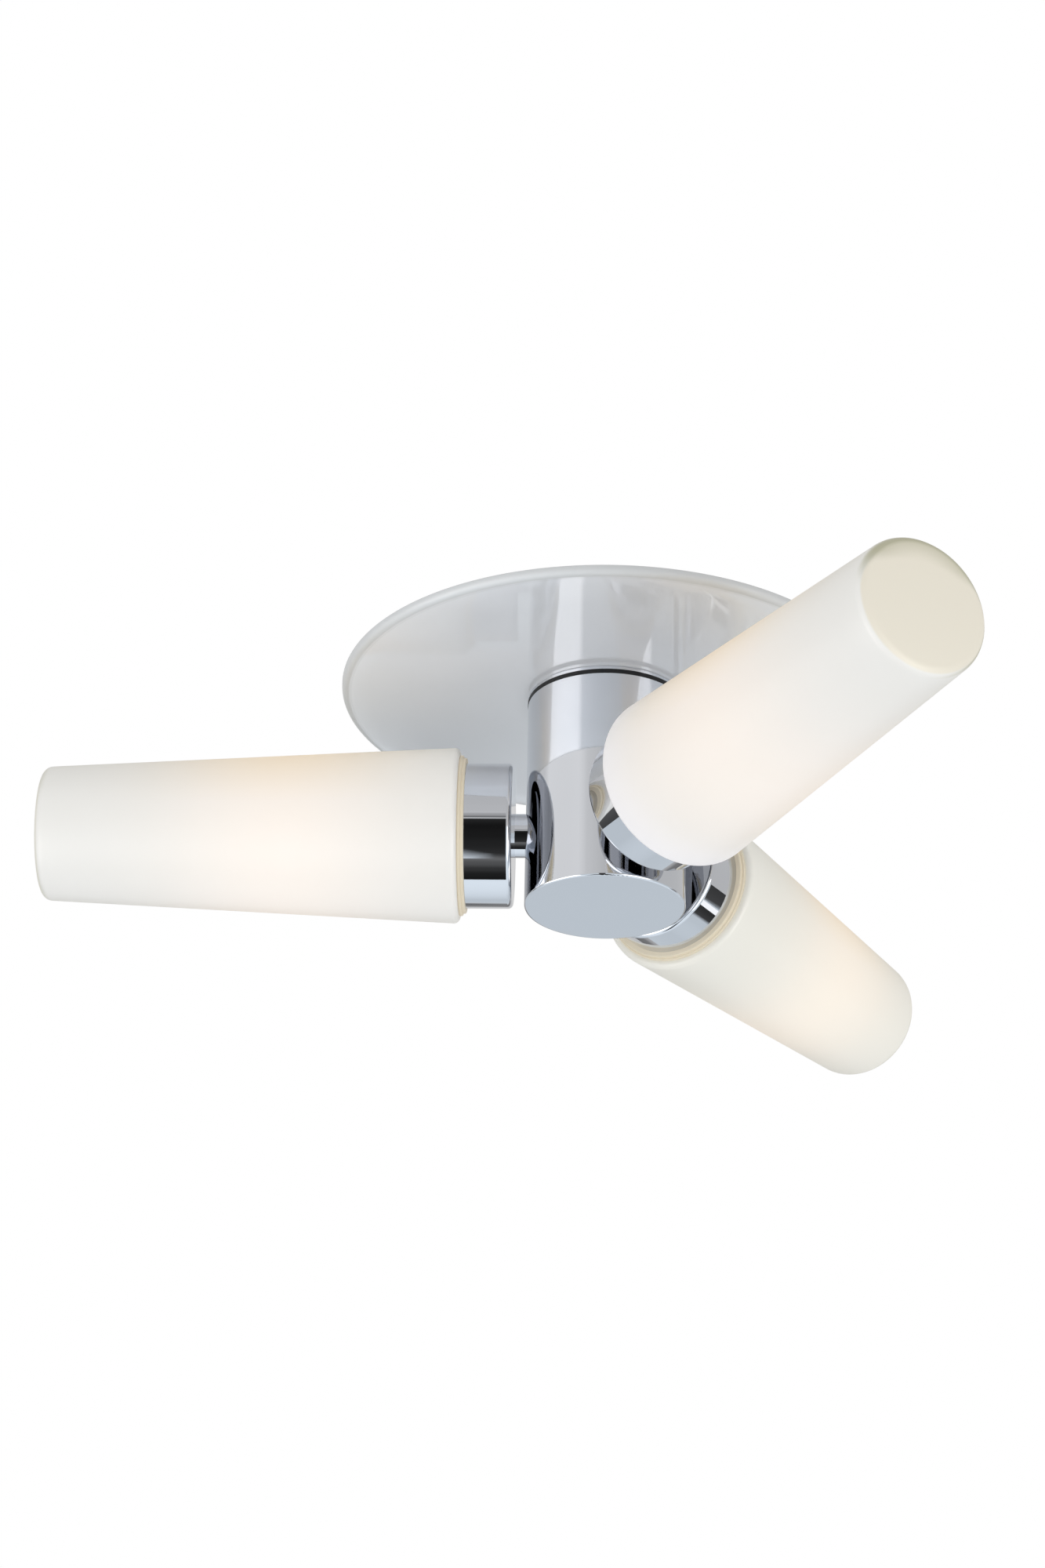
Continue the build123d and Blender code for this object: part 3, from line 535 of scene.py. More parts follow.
def makeShadeTree():
    add, given = startTree("blownShade", {**shade, **glasses})
    back, wall, crown = given["Shoulder Distance"], given["Wall"], given["Crown"]
    neck, lip, fold = given["Neck Radius"], given["Lip Rounding"], given["Fold Rounding"]
    tip = add("ADD", back, given["Length"])
    neckEnd = add("SUBTRACT", back, given["Neck Length"])
    neckInside = add("SUBTRACT", neck, wall)
    innerTip = add("SUBTRACT", tip, wall)
    innerBack = add("ADD", back, wall)
    corners = [
        (add("ADD", tip, crown), 0, 0),
        # half way out, the crown is still three quarters as high
        (add("MULTIPLY_ADD", crown, 0.75, tip), add("MULTIPLY", given["Tip Radius"], 0.5),
         given["Crown Rounding"]),
        (tip, given["Tip Radius"], given["Tip Rounding"]),
        (back, given["Shoulder Radius"], given["Shoulder Rounding"]),
        (back, neck, fold),
        (neckEnd, neck, lip),
        (neckEnd, neckInside, lip),
        (innerBack, neckInside, fold),
        (innerBack, add("SUBTRACT", given["Shoulder Radius"], wall), fold),
        (innerTip, add("SUBTRACT", given["Tip Radius"], wall), given["Inside Rounding"]),
        (innerTip, 0, 0),
    ]
    skin, along = spunSkin(add, given, corners, {
        "radius": neck, "pitch": given["Thread Pitch"], "height": given["Thread Height"],
        "sharpness": given["Thread Sharpness"], "start": neckEnd, "stop": back})
    # what the glass's colour follows: a bell of light about the lamp, painted light that fades away from the
    # shoulder, the height, and how far round the end it is, from a little before the rounding
    bell, shoulderLightFall = [
        add("EXPONENT", add("MULTIPLY", add("MULTIPLY", steps, steps), -1))
        for steps in (add("DIVIDE", add("SUBTRACT", along, given["Glow Distance"]), given["Glow Spread"]),
                      add("DIVIDE", add("SUBTRACT", along, back), given["Painted Shoulder Light Reach"]))]
    rounding = add("MULTIPLY", given["Tip Rounding"], 1.05)
    endShare = add("DIVIDE", add("ADD", add("SUBTRACT", along, tip), rounding), rounding)
    height = add("SeparateXYZ", {"Vector": add("GeometryNodeInputPosition")}, output="Z")
    for name, value in {
            "lampLight": bell, "shareOfTip": endShare, "upward": add("DIVIDE", height, given["Shoulder Radius"]),
            "cream": given["Cream"], "casing": given["Casing"],
            "milk": add("MULTIPLY", shoulderLightFall, given["Milk"])}.items():
        skin = add("GeometryNodeStoreNamedAttribute", {"Geometry": skin, "Name": name, "Value": value},
                   data_type="FLOAT", domain="POINT")
    return finishTree(add, given, skin)


shadeTree = makeShadeTree()
for side in arms["degrees"]:
    own = {label: value[side] for label, value in glasses.items()}
    addPiece(f"glassShade_{side}", shadeTree, {**shade, **own}, [onArm(side)], f"shade_{side}")

# Silicone ring in two steps
ring = {
    "Near Face": -ringHigh.x,
    "Far Face": -ringLow.x,
    "Outer Radius": (ringHigh.z - ringLow.z) / 2,
    "Step": 0.9 * mm,
    "Bore Radius": 26.3 * mm,
    "Rounding": 0.45 * mm,
    "Step Rounding": 0.15 * mm,
    "Bore Rounding": 0.2 * mm,
    "Around": 128,
    "Longest Edge": 4 * mm,
}


# A profile that closes on itself starts half way between two radii
def halfWay(add, first, second):
    return add("MULTIPLY", add("ADD", first, second), 0.5)


def makeRingTree():
    add, given = startTree("siliconeRing", ring)
    far, near, bore, wide = given["Far Face"], given["Near Face"], given["Bore Radius"], given["Outer Radius"]
    stepFace = halfWay(add, far, near)
    narrow = add("SUBTRACT", wide, given["Step"])
    start = halfWay(add, bore, narrow)
    skin, _ = spunSkin(add, given, [
        (far, start, 0),
        (far, wide, given["Rounding"]),
        (stepFace, wide, given["Rounding"]),
        (stepFace, narrow, given["Step Rounding"]),
        (near, narrow, given["Rounding"]),
        (near, bore, given["Bore Rounding"]),
        (far, bore, given["Bore Rounding"]),
        (far, start, 0),
    ])
    return finishTree(add, given, skin)


ringTree = makeRingTree()
for side in arms["degrees"]:
    addPiece(f"siliconeRing_{side}", ringTree, ring, [onArm(side)], f"seal_ring_{side}")

# Black seal round the hub, squeezed out a hair over both edges of its gap
sealLow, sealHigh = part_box("hub_seal")
seal = {
    "Top": sealHigh.z,
    "Bottom": sealLow.z,
    "Outer Radius": (sealHigh.x - sealLow.x) / 2,
    "Inner Radius": 28.7 * mm,
    "Squeeze": 0.42 * mm,
    "Proud": 0.1 * mm,
    "Set Back": 0.05 * mm,  # its lips start this far inside the surface
    "Rounding": 0.3 * mm,
    "Around": 144,
    "Longest Edge": 4 * mm,
}


def makeSealTree():
    add, given = startTree("hubSeal", seal)
    top, bottom = given["Top"], given["Bottom"]
    proud = add("ADD", given["Outer Radius"], given["Proud"])
    root = add("SUBTRACT", given["Outer Radius"], given["Set Back"])
    lipTop, lipBottom = add("ADD", top, given["Squeeze"]), add("SUBTRACT", bottom, given["Squeeze"])
    skin, _ = spunSkin(add, given, [
        (top, given["Inner Radius"], 0),
        (top, root, 0),
        (lipTop, root, 0),
        (lipTop, proud, given["Rounding"]),
        (lipBottom, proud, given["Rounding"]),
        (lipBottom, root, 0),
        (bottom, root, 0),
        (bottom, given["Inner Radius"], 0),
        (top, given["Inner Radius"], 0),
    ])
    return finishTree(add, given, skin)


addPiece("hubSeal", makeSealTree(), seal, centre, "hub_seal")

# Ceiling plate, spun from sheet: a dish with a rolled rim, holed for the cable, the rivets and the fixing screws
plateLow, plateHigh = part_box("ceiling_plate")
plate = {
    "Radius": plateHigh.x,
    "Depth": -plateLow.z,
    "Sheet": 1 * mm,
    "Rim Rounding": 2.38 * mm,
    "Rim Edge": 0.2 * mm,
    "Cable Hole": 7 * mm,
    "Hole Edge": 0.1 * mm,
    "Rivet Aside": 17.75 * mm,
    "Rivet Ahead": 10.25 * mm,
    "Rivet Hole": 1.55 * mm,
    "Slot Distance": 18 * mm,
    "Slot Length": 10 * mm,
    "Slot Width": 4.5 * mm,
    "Drill Length": 12 * mm,
    "Around": 192,
    "Longest Edge": 8 * mm,
}
drillSides = 32


def makePlateTree():
    add, given = startTree("spunPlate", plate)
    radius, sheet, hole = given["Radius"], given["Sheet"], given["Cable Hole"]
    face = add("MULTIPLY", given["Depth"], -1)
    inside, back = add("SUBTRACT", radius, sheet), add("ADD", face, sheet)
    rimTop = add("MULTIPLY_ADD", sheet, -0.5, radius)
    skin, _ = spunSkin(add, given, [
        (0, rimTop, 0),
        (0, radius, given["Rim Edge"]),
        (face, radius, given["Rim Rounding"]),
        (face, hole, given["Hole Edge"]),
        (back, hole, given["Hole Edge"]),
        (back, inside, add("SUBTRACT", given["Rim Rounding"], sheet)),
        (0, inside, given["Rim Edge"]),
        (0, rimTop, 0),
    ])

    def drill(size, aside, ahead):
        bit = add("GeometryNodeMeshCylinder", {
            "Vertices": drillSides, "Radius": size, "Depth": given["Drill Length"]})
        return add("GeometryNodeTransform", {
            "Geometry": bit, "Translation": add("CombineXYZ", {"Y": ahead, "Z": aside}),
            "Rotation": (0, math.radians(90), 0)})

    holes = []
    slotEnd = add("MULTIPLY", given["Slot Width"], 0.5)
    reach = add("SUBTRACT", add("MULTIPLY", given["Slot Length"], 0.5), slotEnd)
    for way in (-1, 1):
        slot = add("MULTIPLY", given["Slot Distance"], way)
        ends = [drill(slotEnd, 0, add(turn, slot, reach)) for turn in ("ADD", "SUBTRACT")]
        holes.append(add("GeometryNodeConvexHull", {"Geometry": add("GeometryNodeJoinGeometry", ends)}))
        for across in (-1, 1):
            holes.append(drill(given["Rivet Hole"], add("MULTIPLY", given["Rivet Aside"], across),
                               add("MULTIPLY", given["Rivet Ahead"], way)))
    return finishTree(add, given, skin, add("GeometryNodeJoinGeometry", holes))


addPiece("spunPlate", makePlateTree(), plate, centre, "ceiling_plate")

# Rubber grommet, moulded as a spool with soft lips
grommetLow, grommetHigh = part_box("cable_grommet")
grommet = {
    "Flange Radius": grommetHigh.x,
    "Flange Thickness": 2.4 * mm,
    "Flange Set Back": 0.05 * mm,
    "Waist Radius": 6.95 * mm,
    "Waist Edge": 0.2 * mm,
    "Bore Radius": 5 * mm,
    "Length": -grommetLow.z,
    "Lip": 1.6 * mm,
    "Lip Edge": 0.3 * mm,
    "Rounding": 0.6 * mm,
    "Around": 64,
    "Longest Edge": 2 * mm,
}


def makeGrommetTree():
    add, given = startTree("rubberGrommet", grommet)
    soft, waist, bore, lip = given["Rounding"], given["Waist Radius"], given["Bore Radius"], given["Flange Radius"]
    low = add("MULTIPLY", given["Length"], -1)
    under, lipTop = add("MULTIPLY", given["Flange Thickness"], -1), add("ADD", low, given["Lip"])
    flange = add("SUBTRACT", lip, given["Flange Set Back"])
    skin, _ = spunSkin(add, given, [
        (0, waist, 0),
        (0, flange, soft),
        (under, flange, given["Waist Edge"]),
        (under, waist, given["Waist Edge"]),
        (lipTop, waist, given["Waist Edge"]),
        (lipTop, lip, given["Lip Edge"]),
        (low, add("MULTIPLY_ADD", given["Lip"], -0.5, lip), soft),
        (low, bore, soft),
        (0, bore, soft),
        (0, waist, 0),
    ])
    return finishTree(add, given, skin)


addPiece("cableGrommet", makeGrommetTree(), grommet, centre, "cable_grommet")

# Base of the G9 lamp, moulded with two grip grooves
baseLow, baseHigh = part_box("lamp_base_left")
lampBase = {
    "Radius": (baseHigh.z - baseLow.z) / 2,
    "Length": baseHigh.x - baseLow.x,
    "Chamfer": 0.8 * mm,
    "Chamfer Edge": 0.2 * mm,
    "Edge": 0.1 * mm,
    "Groove Width": 0.7 * mm,
    "Groove Depth": 0.4 * mm,
    "Groove Slope": 0.3,  # share of the width that each side's slope takes
    "Groove Spacing": 1.6 * mm,
    "Around": 48,
    "Longest Edge": 2 * mm,
}


def makeBaseTree():
    add, given = startTree("lampBase", lampBase)
    radius, width, edge, chamfer = given["Radius"], given["Groove Width"], given["Edge"], given["Chamfer"]
    floor = add("SUBTRACT", radius, given["Groove Depth"])
    corners = [(given["Length"], 0, 0), (given["Length"], radius, edge)]
    for groove in (2, 1):
        start = add("ADD", add("MULTIPLY", given["Groove Spacing"], groove), chamfer)
        end = add("SUBTRACT", start, width)
        slope = add("MULTIPLY", width, given["Groove Slope"])
        corners += [(start, radius, edge), (add("SUBTRACT", start, slope), floor, edge),
                    (add("ADD", end, slope), floor, edge), (end, radius, edge)]
    corners += [(chamfer, radius, given["Chamfer Edge"]), (0, add("SUBTRACT", radius, chamfer), edge), (0, 0, 0)]
    skin, _ = spunSkin(add, given, corners)
    return finishTree(add, given, skin)


baseTree = makeBaseTree()
for side in arms["degrees"]:
    addPiece(f"lampBase_{side}", baseTree, lampBase, [onArm(side, -baseHigh.x)], f"lamp_base_{side}")

# What every screw has. The driven face looks along X, and the threaded shank runs back from its seat
screwBasics = {
    "Thread Pitch": 0.5 * mm,
    "Thread Depth": 0.27 * mm,
    "Thread Top": -0.3,  # in pitches from the seat
    "Tip Share": 0.4,  # the tip's rounding, as a share of the shank's radius
    "Edge": 0.1 * mm,
    "Drive Length": 30 * mm,  # a slot right across, where a screw doesn't say otherwise
    "Around": 32,
    "Longest Edge": 2 * mm,
}


def screwProfile(add, given):
    shank, radius, edge = add("MULTIPLY", given["Shank Length"], -1), given["Shank Radius"], given["Edge"]
    tip = [(shank, radius, add("MULTIPLY", radius, given["Tip Share"])), (shank, 0, 0)]
    if "Head Radius" not in given:
        return [(0, 0, 0), (0, radius, edge), *tip]
    return [(given["Head Height"], 0, 0), (given["Head Height"], given["Head Radius"], given["Head Rounding"]),
            (0, given["Head Radius"], edge), (0, radius, edge), *tip]


# One slot, two crossed slots or a hexagon socket, cut into the face at a height along X
def makeDrive(add, given, kind, face):
    deep = add("MULTIPLY", given["Drive Depth"], 2)
    bar = add("CombineXYZ", deep, given["Drive Length"], given["Drive Width"])
    shapes = [
        add("GeometryNodeTransform", {
            "Geometry": add("GeometryNodeMeshCube", {"Size": bar}), "Rotation": (math.radians(turn), 0, 0)})
        for turn in {"slot": (0,), "cross": (0, 90), "hexagon": ()}[kind]]
    if kind == "hexagon":
        socket = add("GeometryNodeMeshCylinder", {
            "Vertices": 6, "Radius": add("MULTIPLY", given["Drive Width"], 0.5), "Depth": deep})
        shapes.append(add("GeometryNodeTransform", {"Geometry": socket, "Rotation": (0, math.radians(90), 0)}))
    drive = shapes[0]
    if len(shapes) > 1:
        drive = add("GeometryNodeMeshBoolean", {"Mesh 2": shapes},
                    operation="UNION", solver="EXACT", output="Mesh")
    return add("GeometryNodeTransform", {"Geometry": drive, "Translation": add("CombineXYZ", {"X": face})})


def makeScrewTree(name, sizes, kind):
    add, given = startTree(name, sizes)
    corners, pitch = screwProfile(add, given), given["Thread Pitch"]
    skin, _ = spunSkin(add, given, corners, {
        "radius": given["Shank Radius"], "pitch": pitch, "height": add("MULTIPLY", given["Thread Depth"], -1),
        "sharpness": 1, "start": corners[-1][0], "stop": add("MULTIPLY", pitch, given["Thread Top"])})
    return finishTree(add, given, skin, makeDrive(add, given, kind, corners[0][0]))


# Terminal block: its four grub screws, and the screw through its middle
blockLow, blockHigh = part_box("terminal_block")
blockFace, blockLevel = blockLow.x, (blockLow.z + blockHigh.z) / 2
clampScrew = {
    **screwBasics, "Edge": 0.15 * mm, "Shank Radius": 1.6 * mm, "Shank Length": 3.7 * mm,
    "Drive Width": 0.5 * mm, "Drive Depth": 0.9 * mm}
clampScrewPlaces = {"inset": 0.5 * mm, "poleSpacing": 10 * mm, "heightSpacing": 9 * mm}
blockScrew = {
    **screwBasics, "Head Radius": 2.4 * mm, "Head Height": 1.7 * mm, "Head Rounding": 1 * mm,
    "Shank Radius": 1.4 * mm, "Shank Length": 11 * mm,
    "Drive Width": 0.5 * mm, "Drive Depth": 0.9 * mm, "Drive Length": 2.9 * mm}
blockScrewInset = 1.8 * mm
clampSpots = [
    ((blockFace + clampScrewPlaces["inset"], pole * clampScrewPlaces["poleSpacing"] / 2,
      blockLevel + row * clampScrewPlaces["heightSpacing"] / 2), (-1, 0, 0))
    for pole in (-1, 1) for row in (-1, 1)]
addPiece("clampScrews", makeScrewTree("slottedGrub", clampScrew, "slot"), clampScrew, clampSpots,
         "terminal_screws")
addPiece("blockScrew", makeScrewTree("crossPanHead", blockScrew, "cross"), blockScrew,
         [((blockFace + blockScrewInset, 0, blockLevel), (-1, 0, 0))], "block_screw")

# Brass screw that takes the earth lead
earthScrew = {
    **screwBasics, "Thread Pitch": 0.7 * mm, "Thread Depth": 0.38 * mm, "Head Radius": 3.8 * mm,
    "Head Height": 2.4 * mm, "Head Rounding": 0.7 * mm, "Shank Radius": 1.95 * mm, "Shank Length": 4.1 * mm,
    "Drive Width": 1 * mm, "Drive Depth": 1.2 * mm, "Around": 36}
earthLow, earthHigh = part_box("earth_screw")
earthMiddle = (earthLow + earthHigh) / 2
addPiece("earthScrew", makeScrewTree("slottedCheeseHead", earthScrew, "slot"), earthScrew,
         [((earthMiddle.x, earthMiddle.y, earthLow.z + earthScrew["Head Height"]), (0, 0, -1))], "earth_screw")


# A direction seen from above, in degrees anticlockwise from X
def outwardAt(degrees):
    return Vector((math.cos(math.radians(degrees)), math.sin(math.radians(degrees)), 0))


# Set screws of the hub, on the side that faces away from the room
setScrew = {
    **screwBasics, "Edge": 0.15 * mm, "Thread Pitch": 0.7 * mm, "Thread Depth": 0.38 * mm,
    "Shank Radius": 1.95 * mm, "Shank Length": 4.5 * mm, "Drive Width": 2.2 * mm, "Drive Depth": 1.6 * mm,
    "Around": 36}
setScrewPlaces = {"degrees": (40, 140), "distance": 29.8 * mm}
setLow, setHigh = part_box("hub_set_screws")
setLevel = Vector((0, 0, (setLow.z + setHigh.z) / 2))
addPiece("hubSetScrews", makeScrewTree("hexSocketGrub", setScrew, "hexagon"), setScrew,
         [(outwardAt(degrees) * setScrewPlaces["distance"] + setLevel, outwardAt(degrees))
          for degrees in setScrewPlaces["degrees"]], "hub_set_screws")

# Pan-head screws through each stirrup's legs into its lampholder
holderScrew = {
    **screwBasics, "Head Radius": 2.6 * mm, "Head Height": 1.6 * mm, "Head Rounding": 1.1 * mm,
    "Shank Radius": 1.45 * mm, "Shank Length": 4.6 * mm,
    "Drive Width": 0.6 * mm, "Drive Depth": 0.9 * mm, "Drive Length": 3 * mm}
holderScrewPlaces = {"inFromBack": 3.5 * mm, "legThickness": 1.2 * mm}
holderLow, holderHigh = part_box("lampholder_left")
legFace = (holderHigh.y - holderLow.y) / 2 + holderScrewPlaces["legThickness"]
holderSpots = []
for side in arms["degrees"]:
    seat, aim = onArm(side, -holderHigh.x + holderScrewPlaces["inFromBack"])
    sideways = Vector((-aim.y, aim.x, 0))
    holderSpots += [(seat + sideways * way * legFace, sideways * way) for way in (-1, 1)]
addPiece("holderScrews", makeScrewTree("crossPanHeadSmall", holderScrew, "cross"), holderScrew, holderSpots,
         "holder_screws")

# Rivets: a domed head under the collar's floor, and an end set flush in the disc with a dimple
rivetLow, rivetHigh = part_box("collar_rivets")
rivet = {
    "Head Radius": 2.6 * mm,
    "Head Height": 1.2 * mm,
    "Head Rounding": 1.1 * mm,
    "Head Share": 0.8,  # where the dome starts, as a share of the head's radius
    "Shank Radius": 1.5 * mm,
    "Length": rivetHigh.z - rivetLow.z - 1.2 * mm,
    "Dimple Radius": 0.9 * mm,
    "Dimple Depth": 0.35 * mm,
    "Dimple Share": 0.6,  # its floor's radius, as a share of its mouth's
    "Edge": 0.15 * mm,
    "Seat Edge": 0.1 * mm,
    "End Edge": 0.2 * mm,
    "Around": 36,
    "Longest Edge": 2 * mm,
}
rivetPlaces = {"distance": 20.5 * mm, "degrees": (30, 150, 210, 330)}


def makeRivetTree():
    add, given = startTree("collarRivet", rivet)
    head, end = given["Head Height"], add("MULTIPLY", given["Length"], -1)
    dimple = add("ADD", end, given["Dimple Depth"])
    skin, _ = spunSkin(add, given, [
        (head, 0, 0),
        (head, add("MULTIPLY", given["Head Radius"], given["Head Share"]), given["Head Rounding"]),
        (0, given["Head Radius"], given["Edge"]),
        (0, given["Shank Radius"], given["Seat Edge"]),
        (end, given["Shank Radius"], given["End Edge"]),
        (end, given["Dimple Radius"], given["Edge"]),
        (dimple, add("MULTIPLY", given["Dimple Radius"], given["Dimple Share"]), given["End Edge"]),
        (dimple, 0, 0),
    ])
    return finishTree(add, given, skin)


rivetSeat = Vector((0, 0, rivetLow.z + rivet["Head Height"]))
addPiece("collarRivets", makeRivetTree(), rivet,
         [(outwardAt(degrees) * rivetPlaces["distance"] + rivetSeat, (0, 0, -1))
          for degrees in rivetPlaces["degrees"]], "collar_rivets")

# Hollow threaded nipples
nippleLow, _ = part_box("arm_nipples")
nippleStart = 21.5 * mm
nipple = {
    "Length": -nippleLow.x - nippleStart,
    "Radius": 5 * mm,
    "Bore Radius": 4 * mm,
    "Thread Pitch": 1 * mm,
    "Thread Depth": 0.5 * mm,
    "Chamfer": 0.5 * mm,
    "Bore Edge": 0.15 * mm,
    "Around": 48,
    "Longest Edge": 4 * mm,
}


def makeNippleTree():
    add, given = startTree("threadedNipple", nipple)
    end, radius, bore, edge = given["Length"], given["Radius"], given["Bore Radius"], given["Bore Edge"]
    start = halfWay(add, radius, bore)
    skin, _ = spunSkin(add, given, [
        (end, start, 0),
        (end, radius, given["Chamfer"]),
        (0, radius, given["Chamfer"]),
        (0, bore, edge),
        (end, bore, edge),
        (end, start, 0),
    ], {"radius": radius, "pitch": given["Thread Pitch"], "height": add("MULTIPLY", given["Thread Depth"], -1),
        "sharpness": 1, "start": 0, "stop": end})
    return finishTree(add, given, skin)


addPiece("armNipples", makeNippleTree(), nipple, [onArm(side, nippleStart) for side in arms["degrees"]],
         "arm_nipples")

# Chamfered nuts that hold the nipples inside the hub and the cups
nut = {
    "Thickness": 3.2 * mm,
    "Across Flats Half": 8 * mm,
    "Corner Radius": 9.3 * mm,
    "Chamfer": 1.5 * mm,
    "Chamfer Slope": 0.5,
    "Bore Radius": 5.05 * mm,
    "Bore Edge": 0.3 * mm,
    "Around": 96,
    "Longest Edge": 0.4 * mm,
}


def makeNutTree():
    add, given = startTree("hexagonNut", nut)
    top, tips, bore, edge = given["Thickness"], given["Corner Radius"], given["Bore Radius"], given["Bore Edge"]
    face = add("SUBTRACT", tips, given["Chamfer"])
    slope = add("MULTIPLY", given["Chamfer"], given["Chamfer Slope"])
    start = halfWay(add, face, bore)
    skin, _ = spunSkin(add, given, [
        (top, start, 0),
        (top, face, 0),
        (add("SUBTRACT", top, slope), tips, 0),
        (slope, tips, 0),
        (0, face, 0),
        (0, bore, edge),
        (top, bore, edge),
        (top, start, 0),
    ], flats=given["Across Flats Half"])
    return finishTree(add, given, skin)


nutTree = makeNutTree()
for name, node in {"hubNuts": "hub_nuts", "cupNuts": "cup_nuts"}.items():
    nutLow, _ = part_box(node)
    addPiece(name, nutTree, nut, [onArm(side, -nutLow.x - nut["Thickness"]) for side in arms["degrees"]], node)

# Floor of a pale studio, a room's height below. Chrome sees it a little blue, with a painted pool of light brighter
# near the object
studio = {
    "floorLevel": -2.4,
    "floorHalf": 14,
    "floorColour": "#f2f3f5",
    "floorRoughness": 0.9,
    "floorInChrome": "#eff8ff",
    "poolEdges": (2.5, 4.2),  # metres from the middle, between which the floor in chrome dims
    "poolBrightness": (1.25, 0.86),
    "worldAtHorizon": 0.93,
    "worldOverhead": 0.66,
    "worldInChrome": (0.68, 0.88),  # from the right round to the left
    "worldLeft": (-0.87, -0.5, 0),
    "worldTurns": (0.45, 0.9),  # how far towards the left the one gives way to the other
    "cardStrength": 4,
    "cardFade": 0.18,  # share of a card's width at each side
    "cardBounces": 9,
    "underfootAbove": 0.05,
    "underfoot": ((-0.6, -1.3), (0.2, -1.3), (0.2, 0.3), (-0.6, 0.3)),
    "underfootBrightness": (0.045, 0.03, 0.012, 0.005, 0.003),
}


def addPanel(name, corners, material):
    mesh = bpy.data.meshes.new(name)
    mesh.from_pydata(corners, [], [(0, 1, 2, 3)])
    mesh.materials.append(material)
    panel = bpy.data.objects.new(name, mesh)
    bpy.context.scene.collection.objects.link(panel)
    return panel


def makeFloorPaint():
    material, add = startMaterial("studioFloorPaint")
    paint = add("BsdfPrincipled", {
        "Base Color": linearColour(studio["floorColour"]), "Roughness": studio["floorRoughness"]})
    radius = add("VectorMath", add("TexCoord", output="Object"), operation="LENGTH", output="Value")
    pool = add("MapRange", {
        "Value": radius, "From Min": studio["poolEdges"][0], "From Max": studio["poolEdges"][1],
        "To Min": studio["poolBrightness"][0], "To Max": studio["poolBrightness"][1]})
    shine = add("Emission", {"Color": linearColour(studio["floorInChrome"]), "Strength": pool})
    add("OutputMaterial", {"Surface": add("MixShader", add("LightPath", output="Is Glossy Ray"), paint, shine)})
    return material


floorCorners = [(x * studio["floorHalf"], y * studio["floorHalf"], studio["floorLevel"])
                for x, y in ((-1, -1), (1, -1), (1, 1), (-1, 1))]
addPanel("studioFloor", floorCorners, makeFloorPaint())


# Cards that only reflections see: soft boxes either side of the camera, and the dark room between them
def glowPaint(name, brightness, fade, bounces):
    material, add = startMaterial(name)
    across, height, _ = add("SeparateXYZ", {"Vector": add("UVMap")}).node.outputs
    ramp = add("ValToRGB", {"Fac": height})
    elements = ramp.node.color_ramp.elements
    ramp.node.color_ramp.interpolation = "EASE"
    while len(elements) < len(brightness):
        elements.new(0.5)
    for i, grey in enumerate(brightness):
        elements[i].position, elements[i].color = i / (len(brightness) - 1), (grey, grey, grey, 1)
    shine = add("Emission", {"Color": ramp, "Strength": studio["cardStrength"]})
    # both side edges fade away
    inwards = add("MINIMUM", across, add("SUBTRACT", 1, across))
    solid = add("MapRange", {"Value": inwards, "From Max": fade})
    # a card that must not darken the plate's mirror image in the hub is gone after its first reflection
    solid = add("MULTIPLY", solid, add("LESS_THAN", add("LightPath", output="Glossy Depth"), bounces + 0.5))
    add("OutputMaterial", {"Surface": add("MixShader", solid, add("BsdfTransparent"), shine)})
    return material


# name, azimuth from the viewer's side, its half width, lowest and highest elevation, metres, brightness going up
cards = [
    ("leftSoftbox", -65.5, 31.5, -50, -6, 2.6, (0.54, 0.78, 0.66)),
    ("rightSoftbox", 46, 24, -50, -6, 2.6, (0.54, 0.72, 0.61)),
    ("paleWallLeft", -62, 36, 10, 44, 2.6, (0.225, 0.25, 0.26)),
    ("darkRoom", -3.8, 5.6, -62, 2.5, 2.3, (0.048, 0.009, 0.006, 0.004, 0.003, 0.007)),
    ("darkRoomTop", -3.8, 6.5, 4.5, 14, 2.3, (0.05, 0.13, 0.19)),
    ("darkStandLeft", -114.5, 5, -19, -8, 2.3, (0.02, 0.03)),
    ("darkStandRight", 112, 7, -18, -3, 2.3, (0.02, 0.015)),
    ("darkCaseRight", 122, 9, -40, -23, 2.3, (0.03, 0.01)),
    ("darkHorizonBehind", 180, 34, -15, -3.5, 2.6, (0.14, 0.06, 0.05)),
    ("paleStripRight", 118, 16, -22.6, -18.4, 2.3, (0.36, 0.36)),
]
firstOnly = ("darkRoom", "darkRoomTop")  # cards that only a first reflection sees


def addCard(name, corners, brightness, fade=studio["cardFade"], bounces=studio["cardBounces"]):
    card = addPanel(name, corners, glowPaint(name + "Paint", brightness, fade, bounces))
    upwards = card.data.uv_layers.new(name="upwards")
    for loop, place in zip(upwards.data, ((0, 0), (1, 0), (1, 1), (0, 1))):
        loop.uv = place
    for ray in ("camera", "diffuse", "transmission", "shadow", "volume_scatter"):
        setattr(card, "visible_" + ray, False)


def awayFromArms(azimuth, elevation, distance):
    azimuth, elevation = math.radians(azimuth), math.radians(elevation)
    return Vector((0, 0, arms["level"])) + distance * Vector((
        math.sin(azimuth) * math.cos(elevation), -math.cos(azimuth) * math.cos(elevation), math.sin(elevation)))


for name, azimuth, spread, lowest, highest, distance, brightness in cards:
    ways = ((-spread, lowest), (spread, lowest), (spread, highest), (-spread, highest))
    addCard(name, [awayFromArms(azimuth + turn, elevation, distance) for turn, elevation in ways], brightness,
            bounces=1 if name in firstOnly else studio["cardBounces"])
# the dark room reaches on under the object
addCard("darkUnderfoot", [(x, y, studio["floorLevel"] + studio["underfootAbove"]) for x, y in studio["underfoot"]],
        studio["underfootBrightness"])

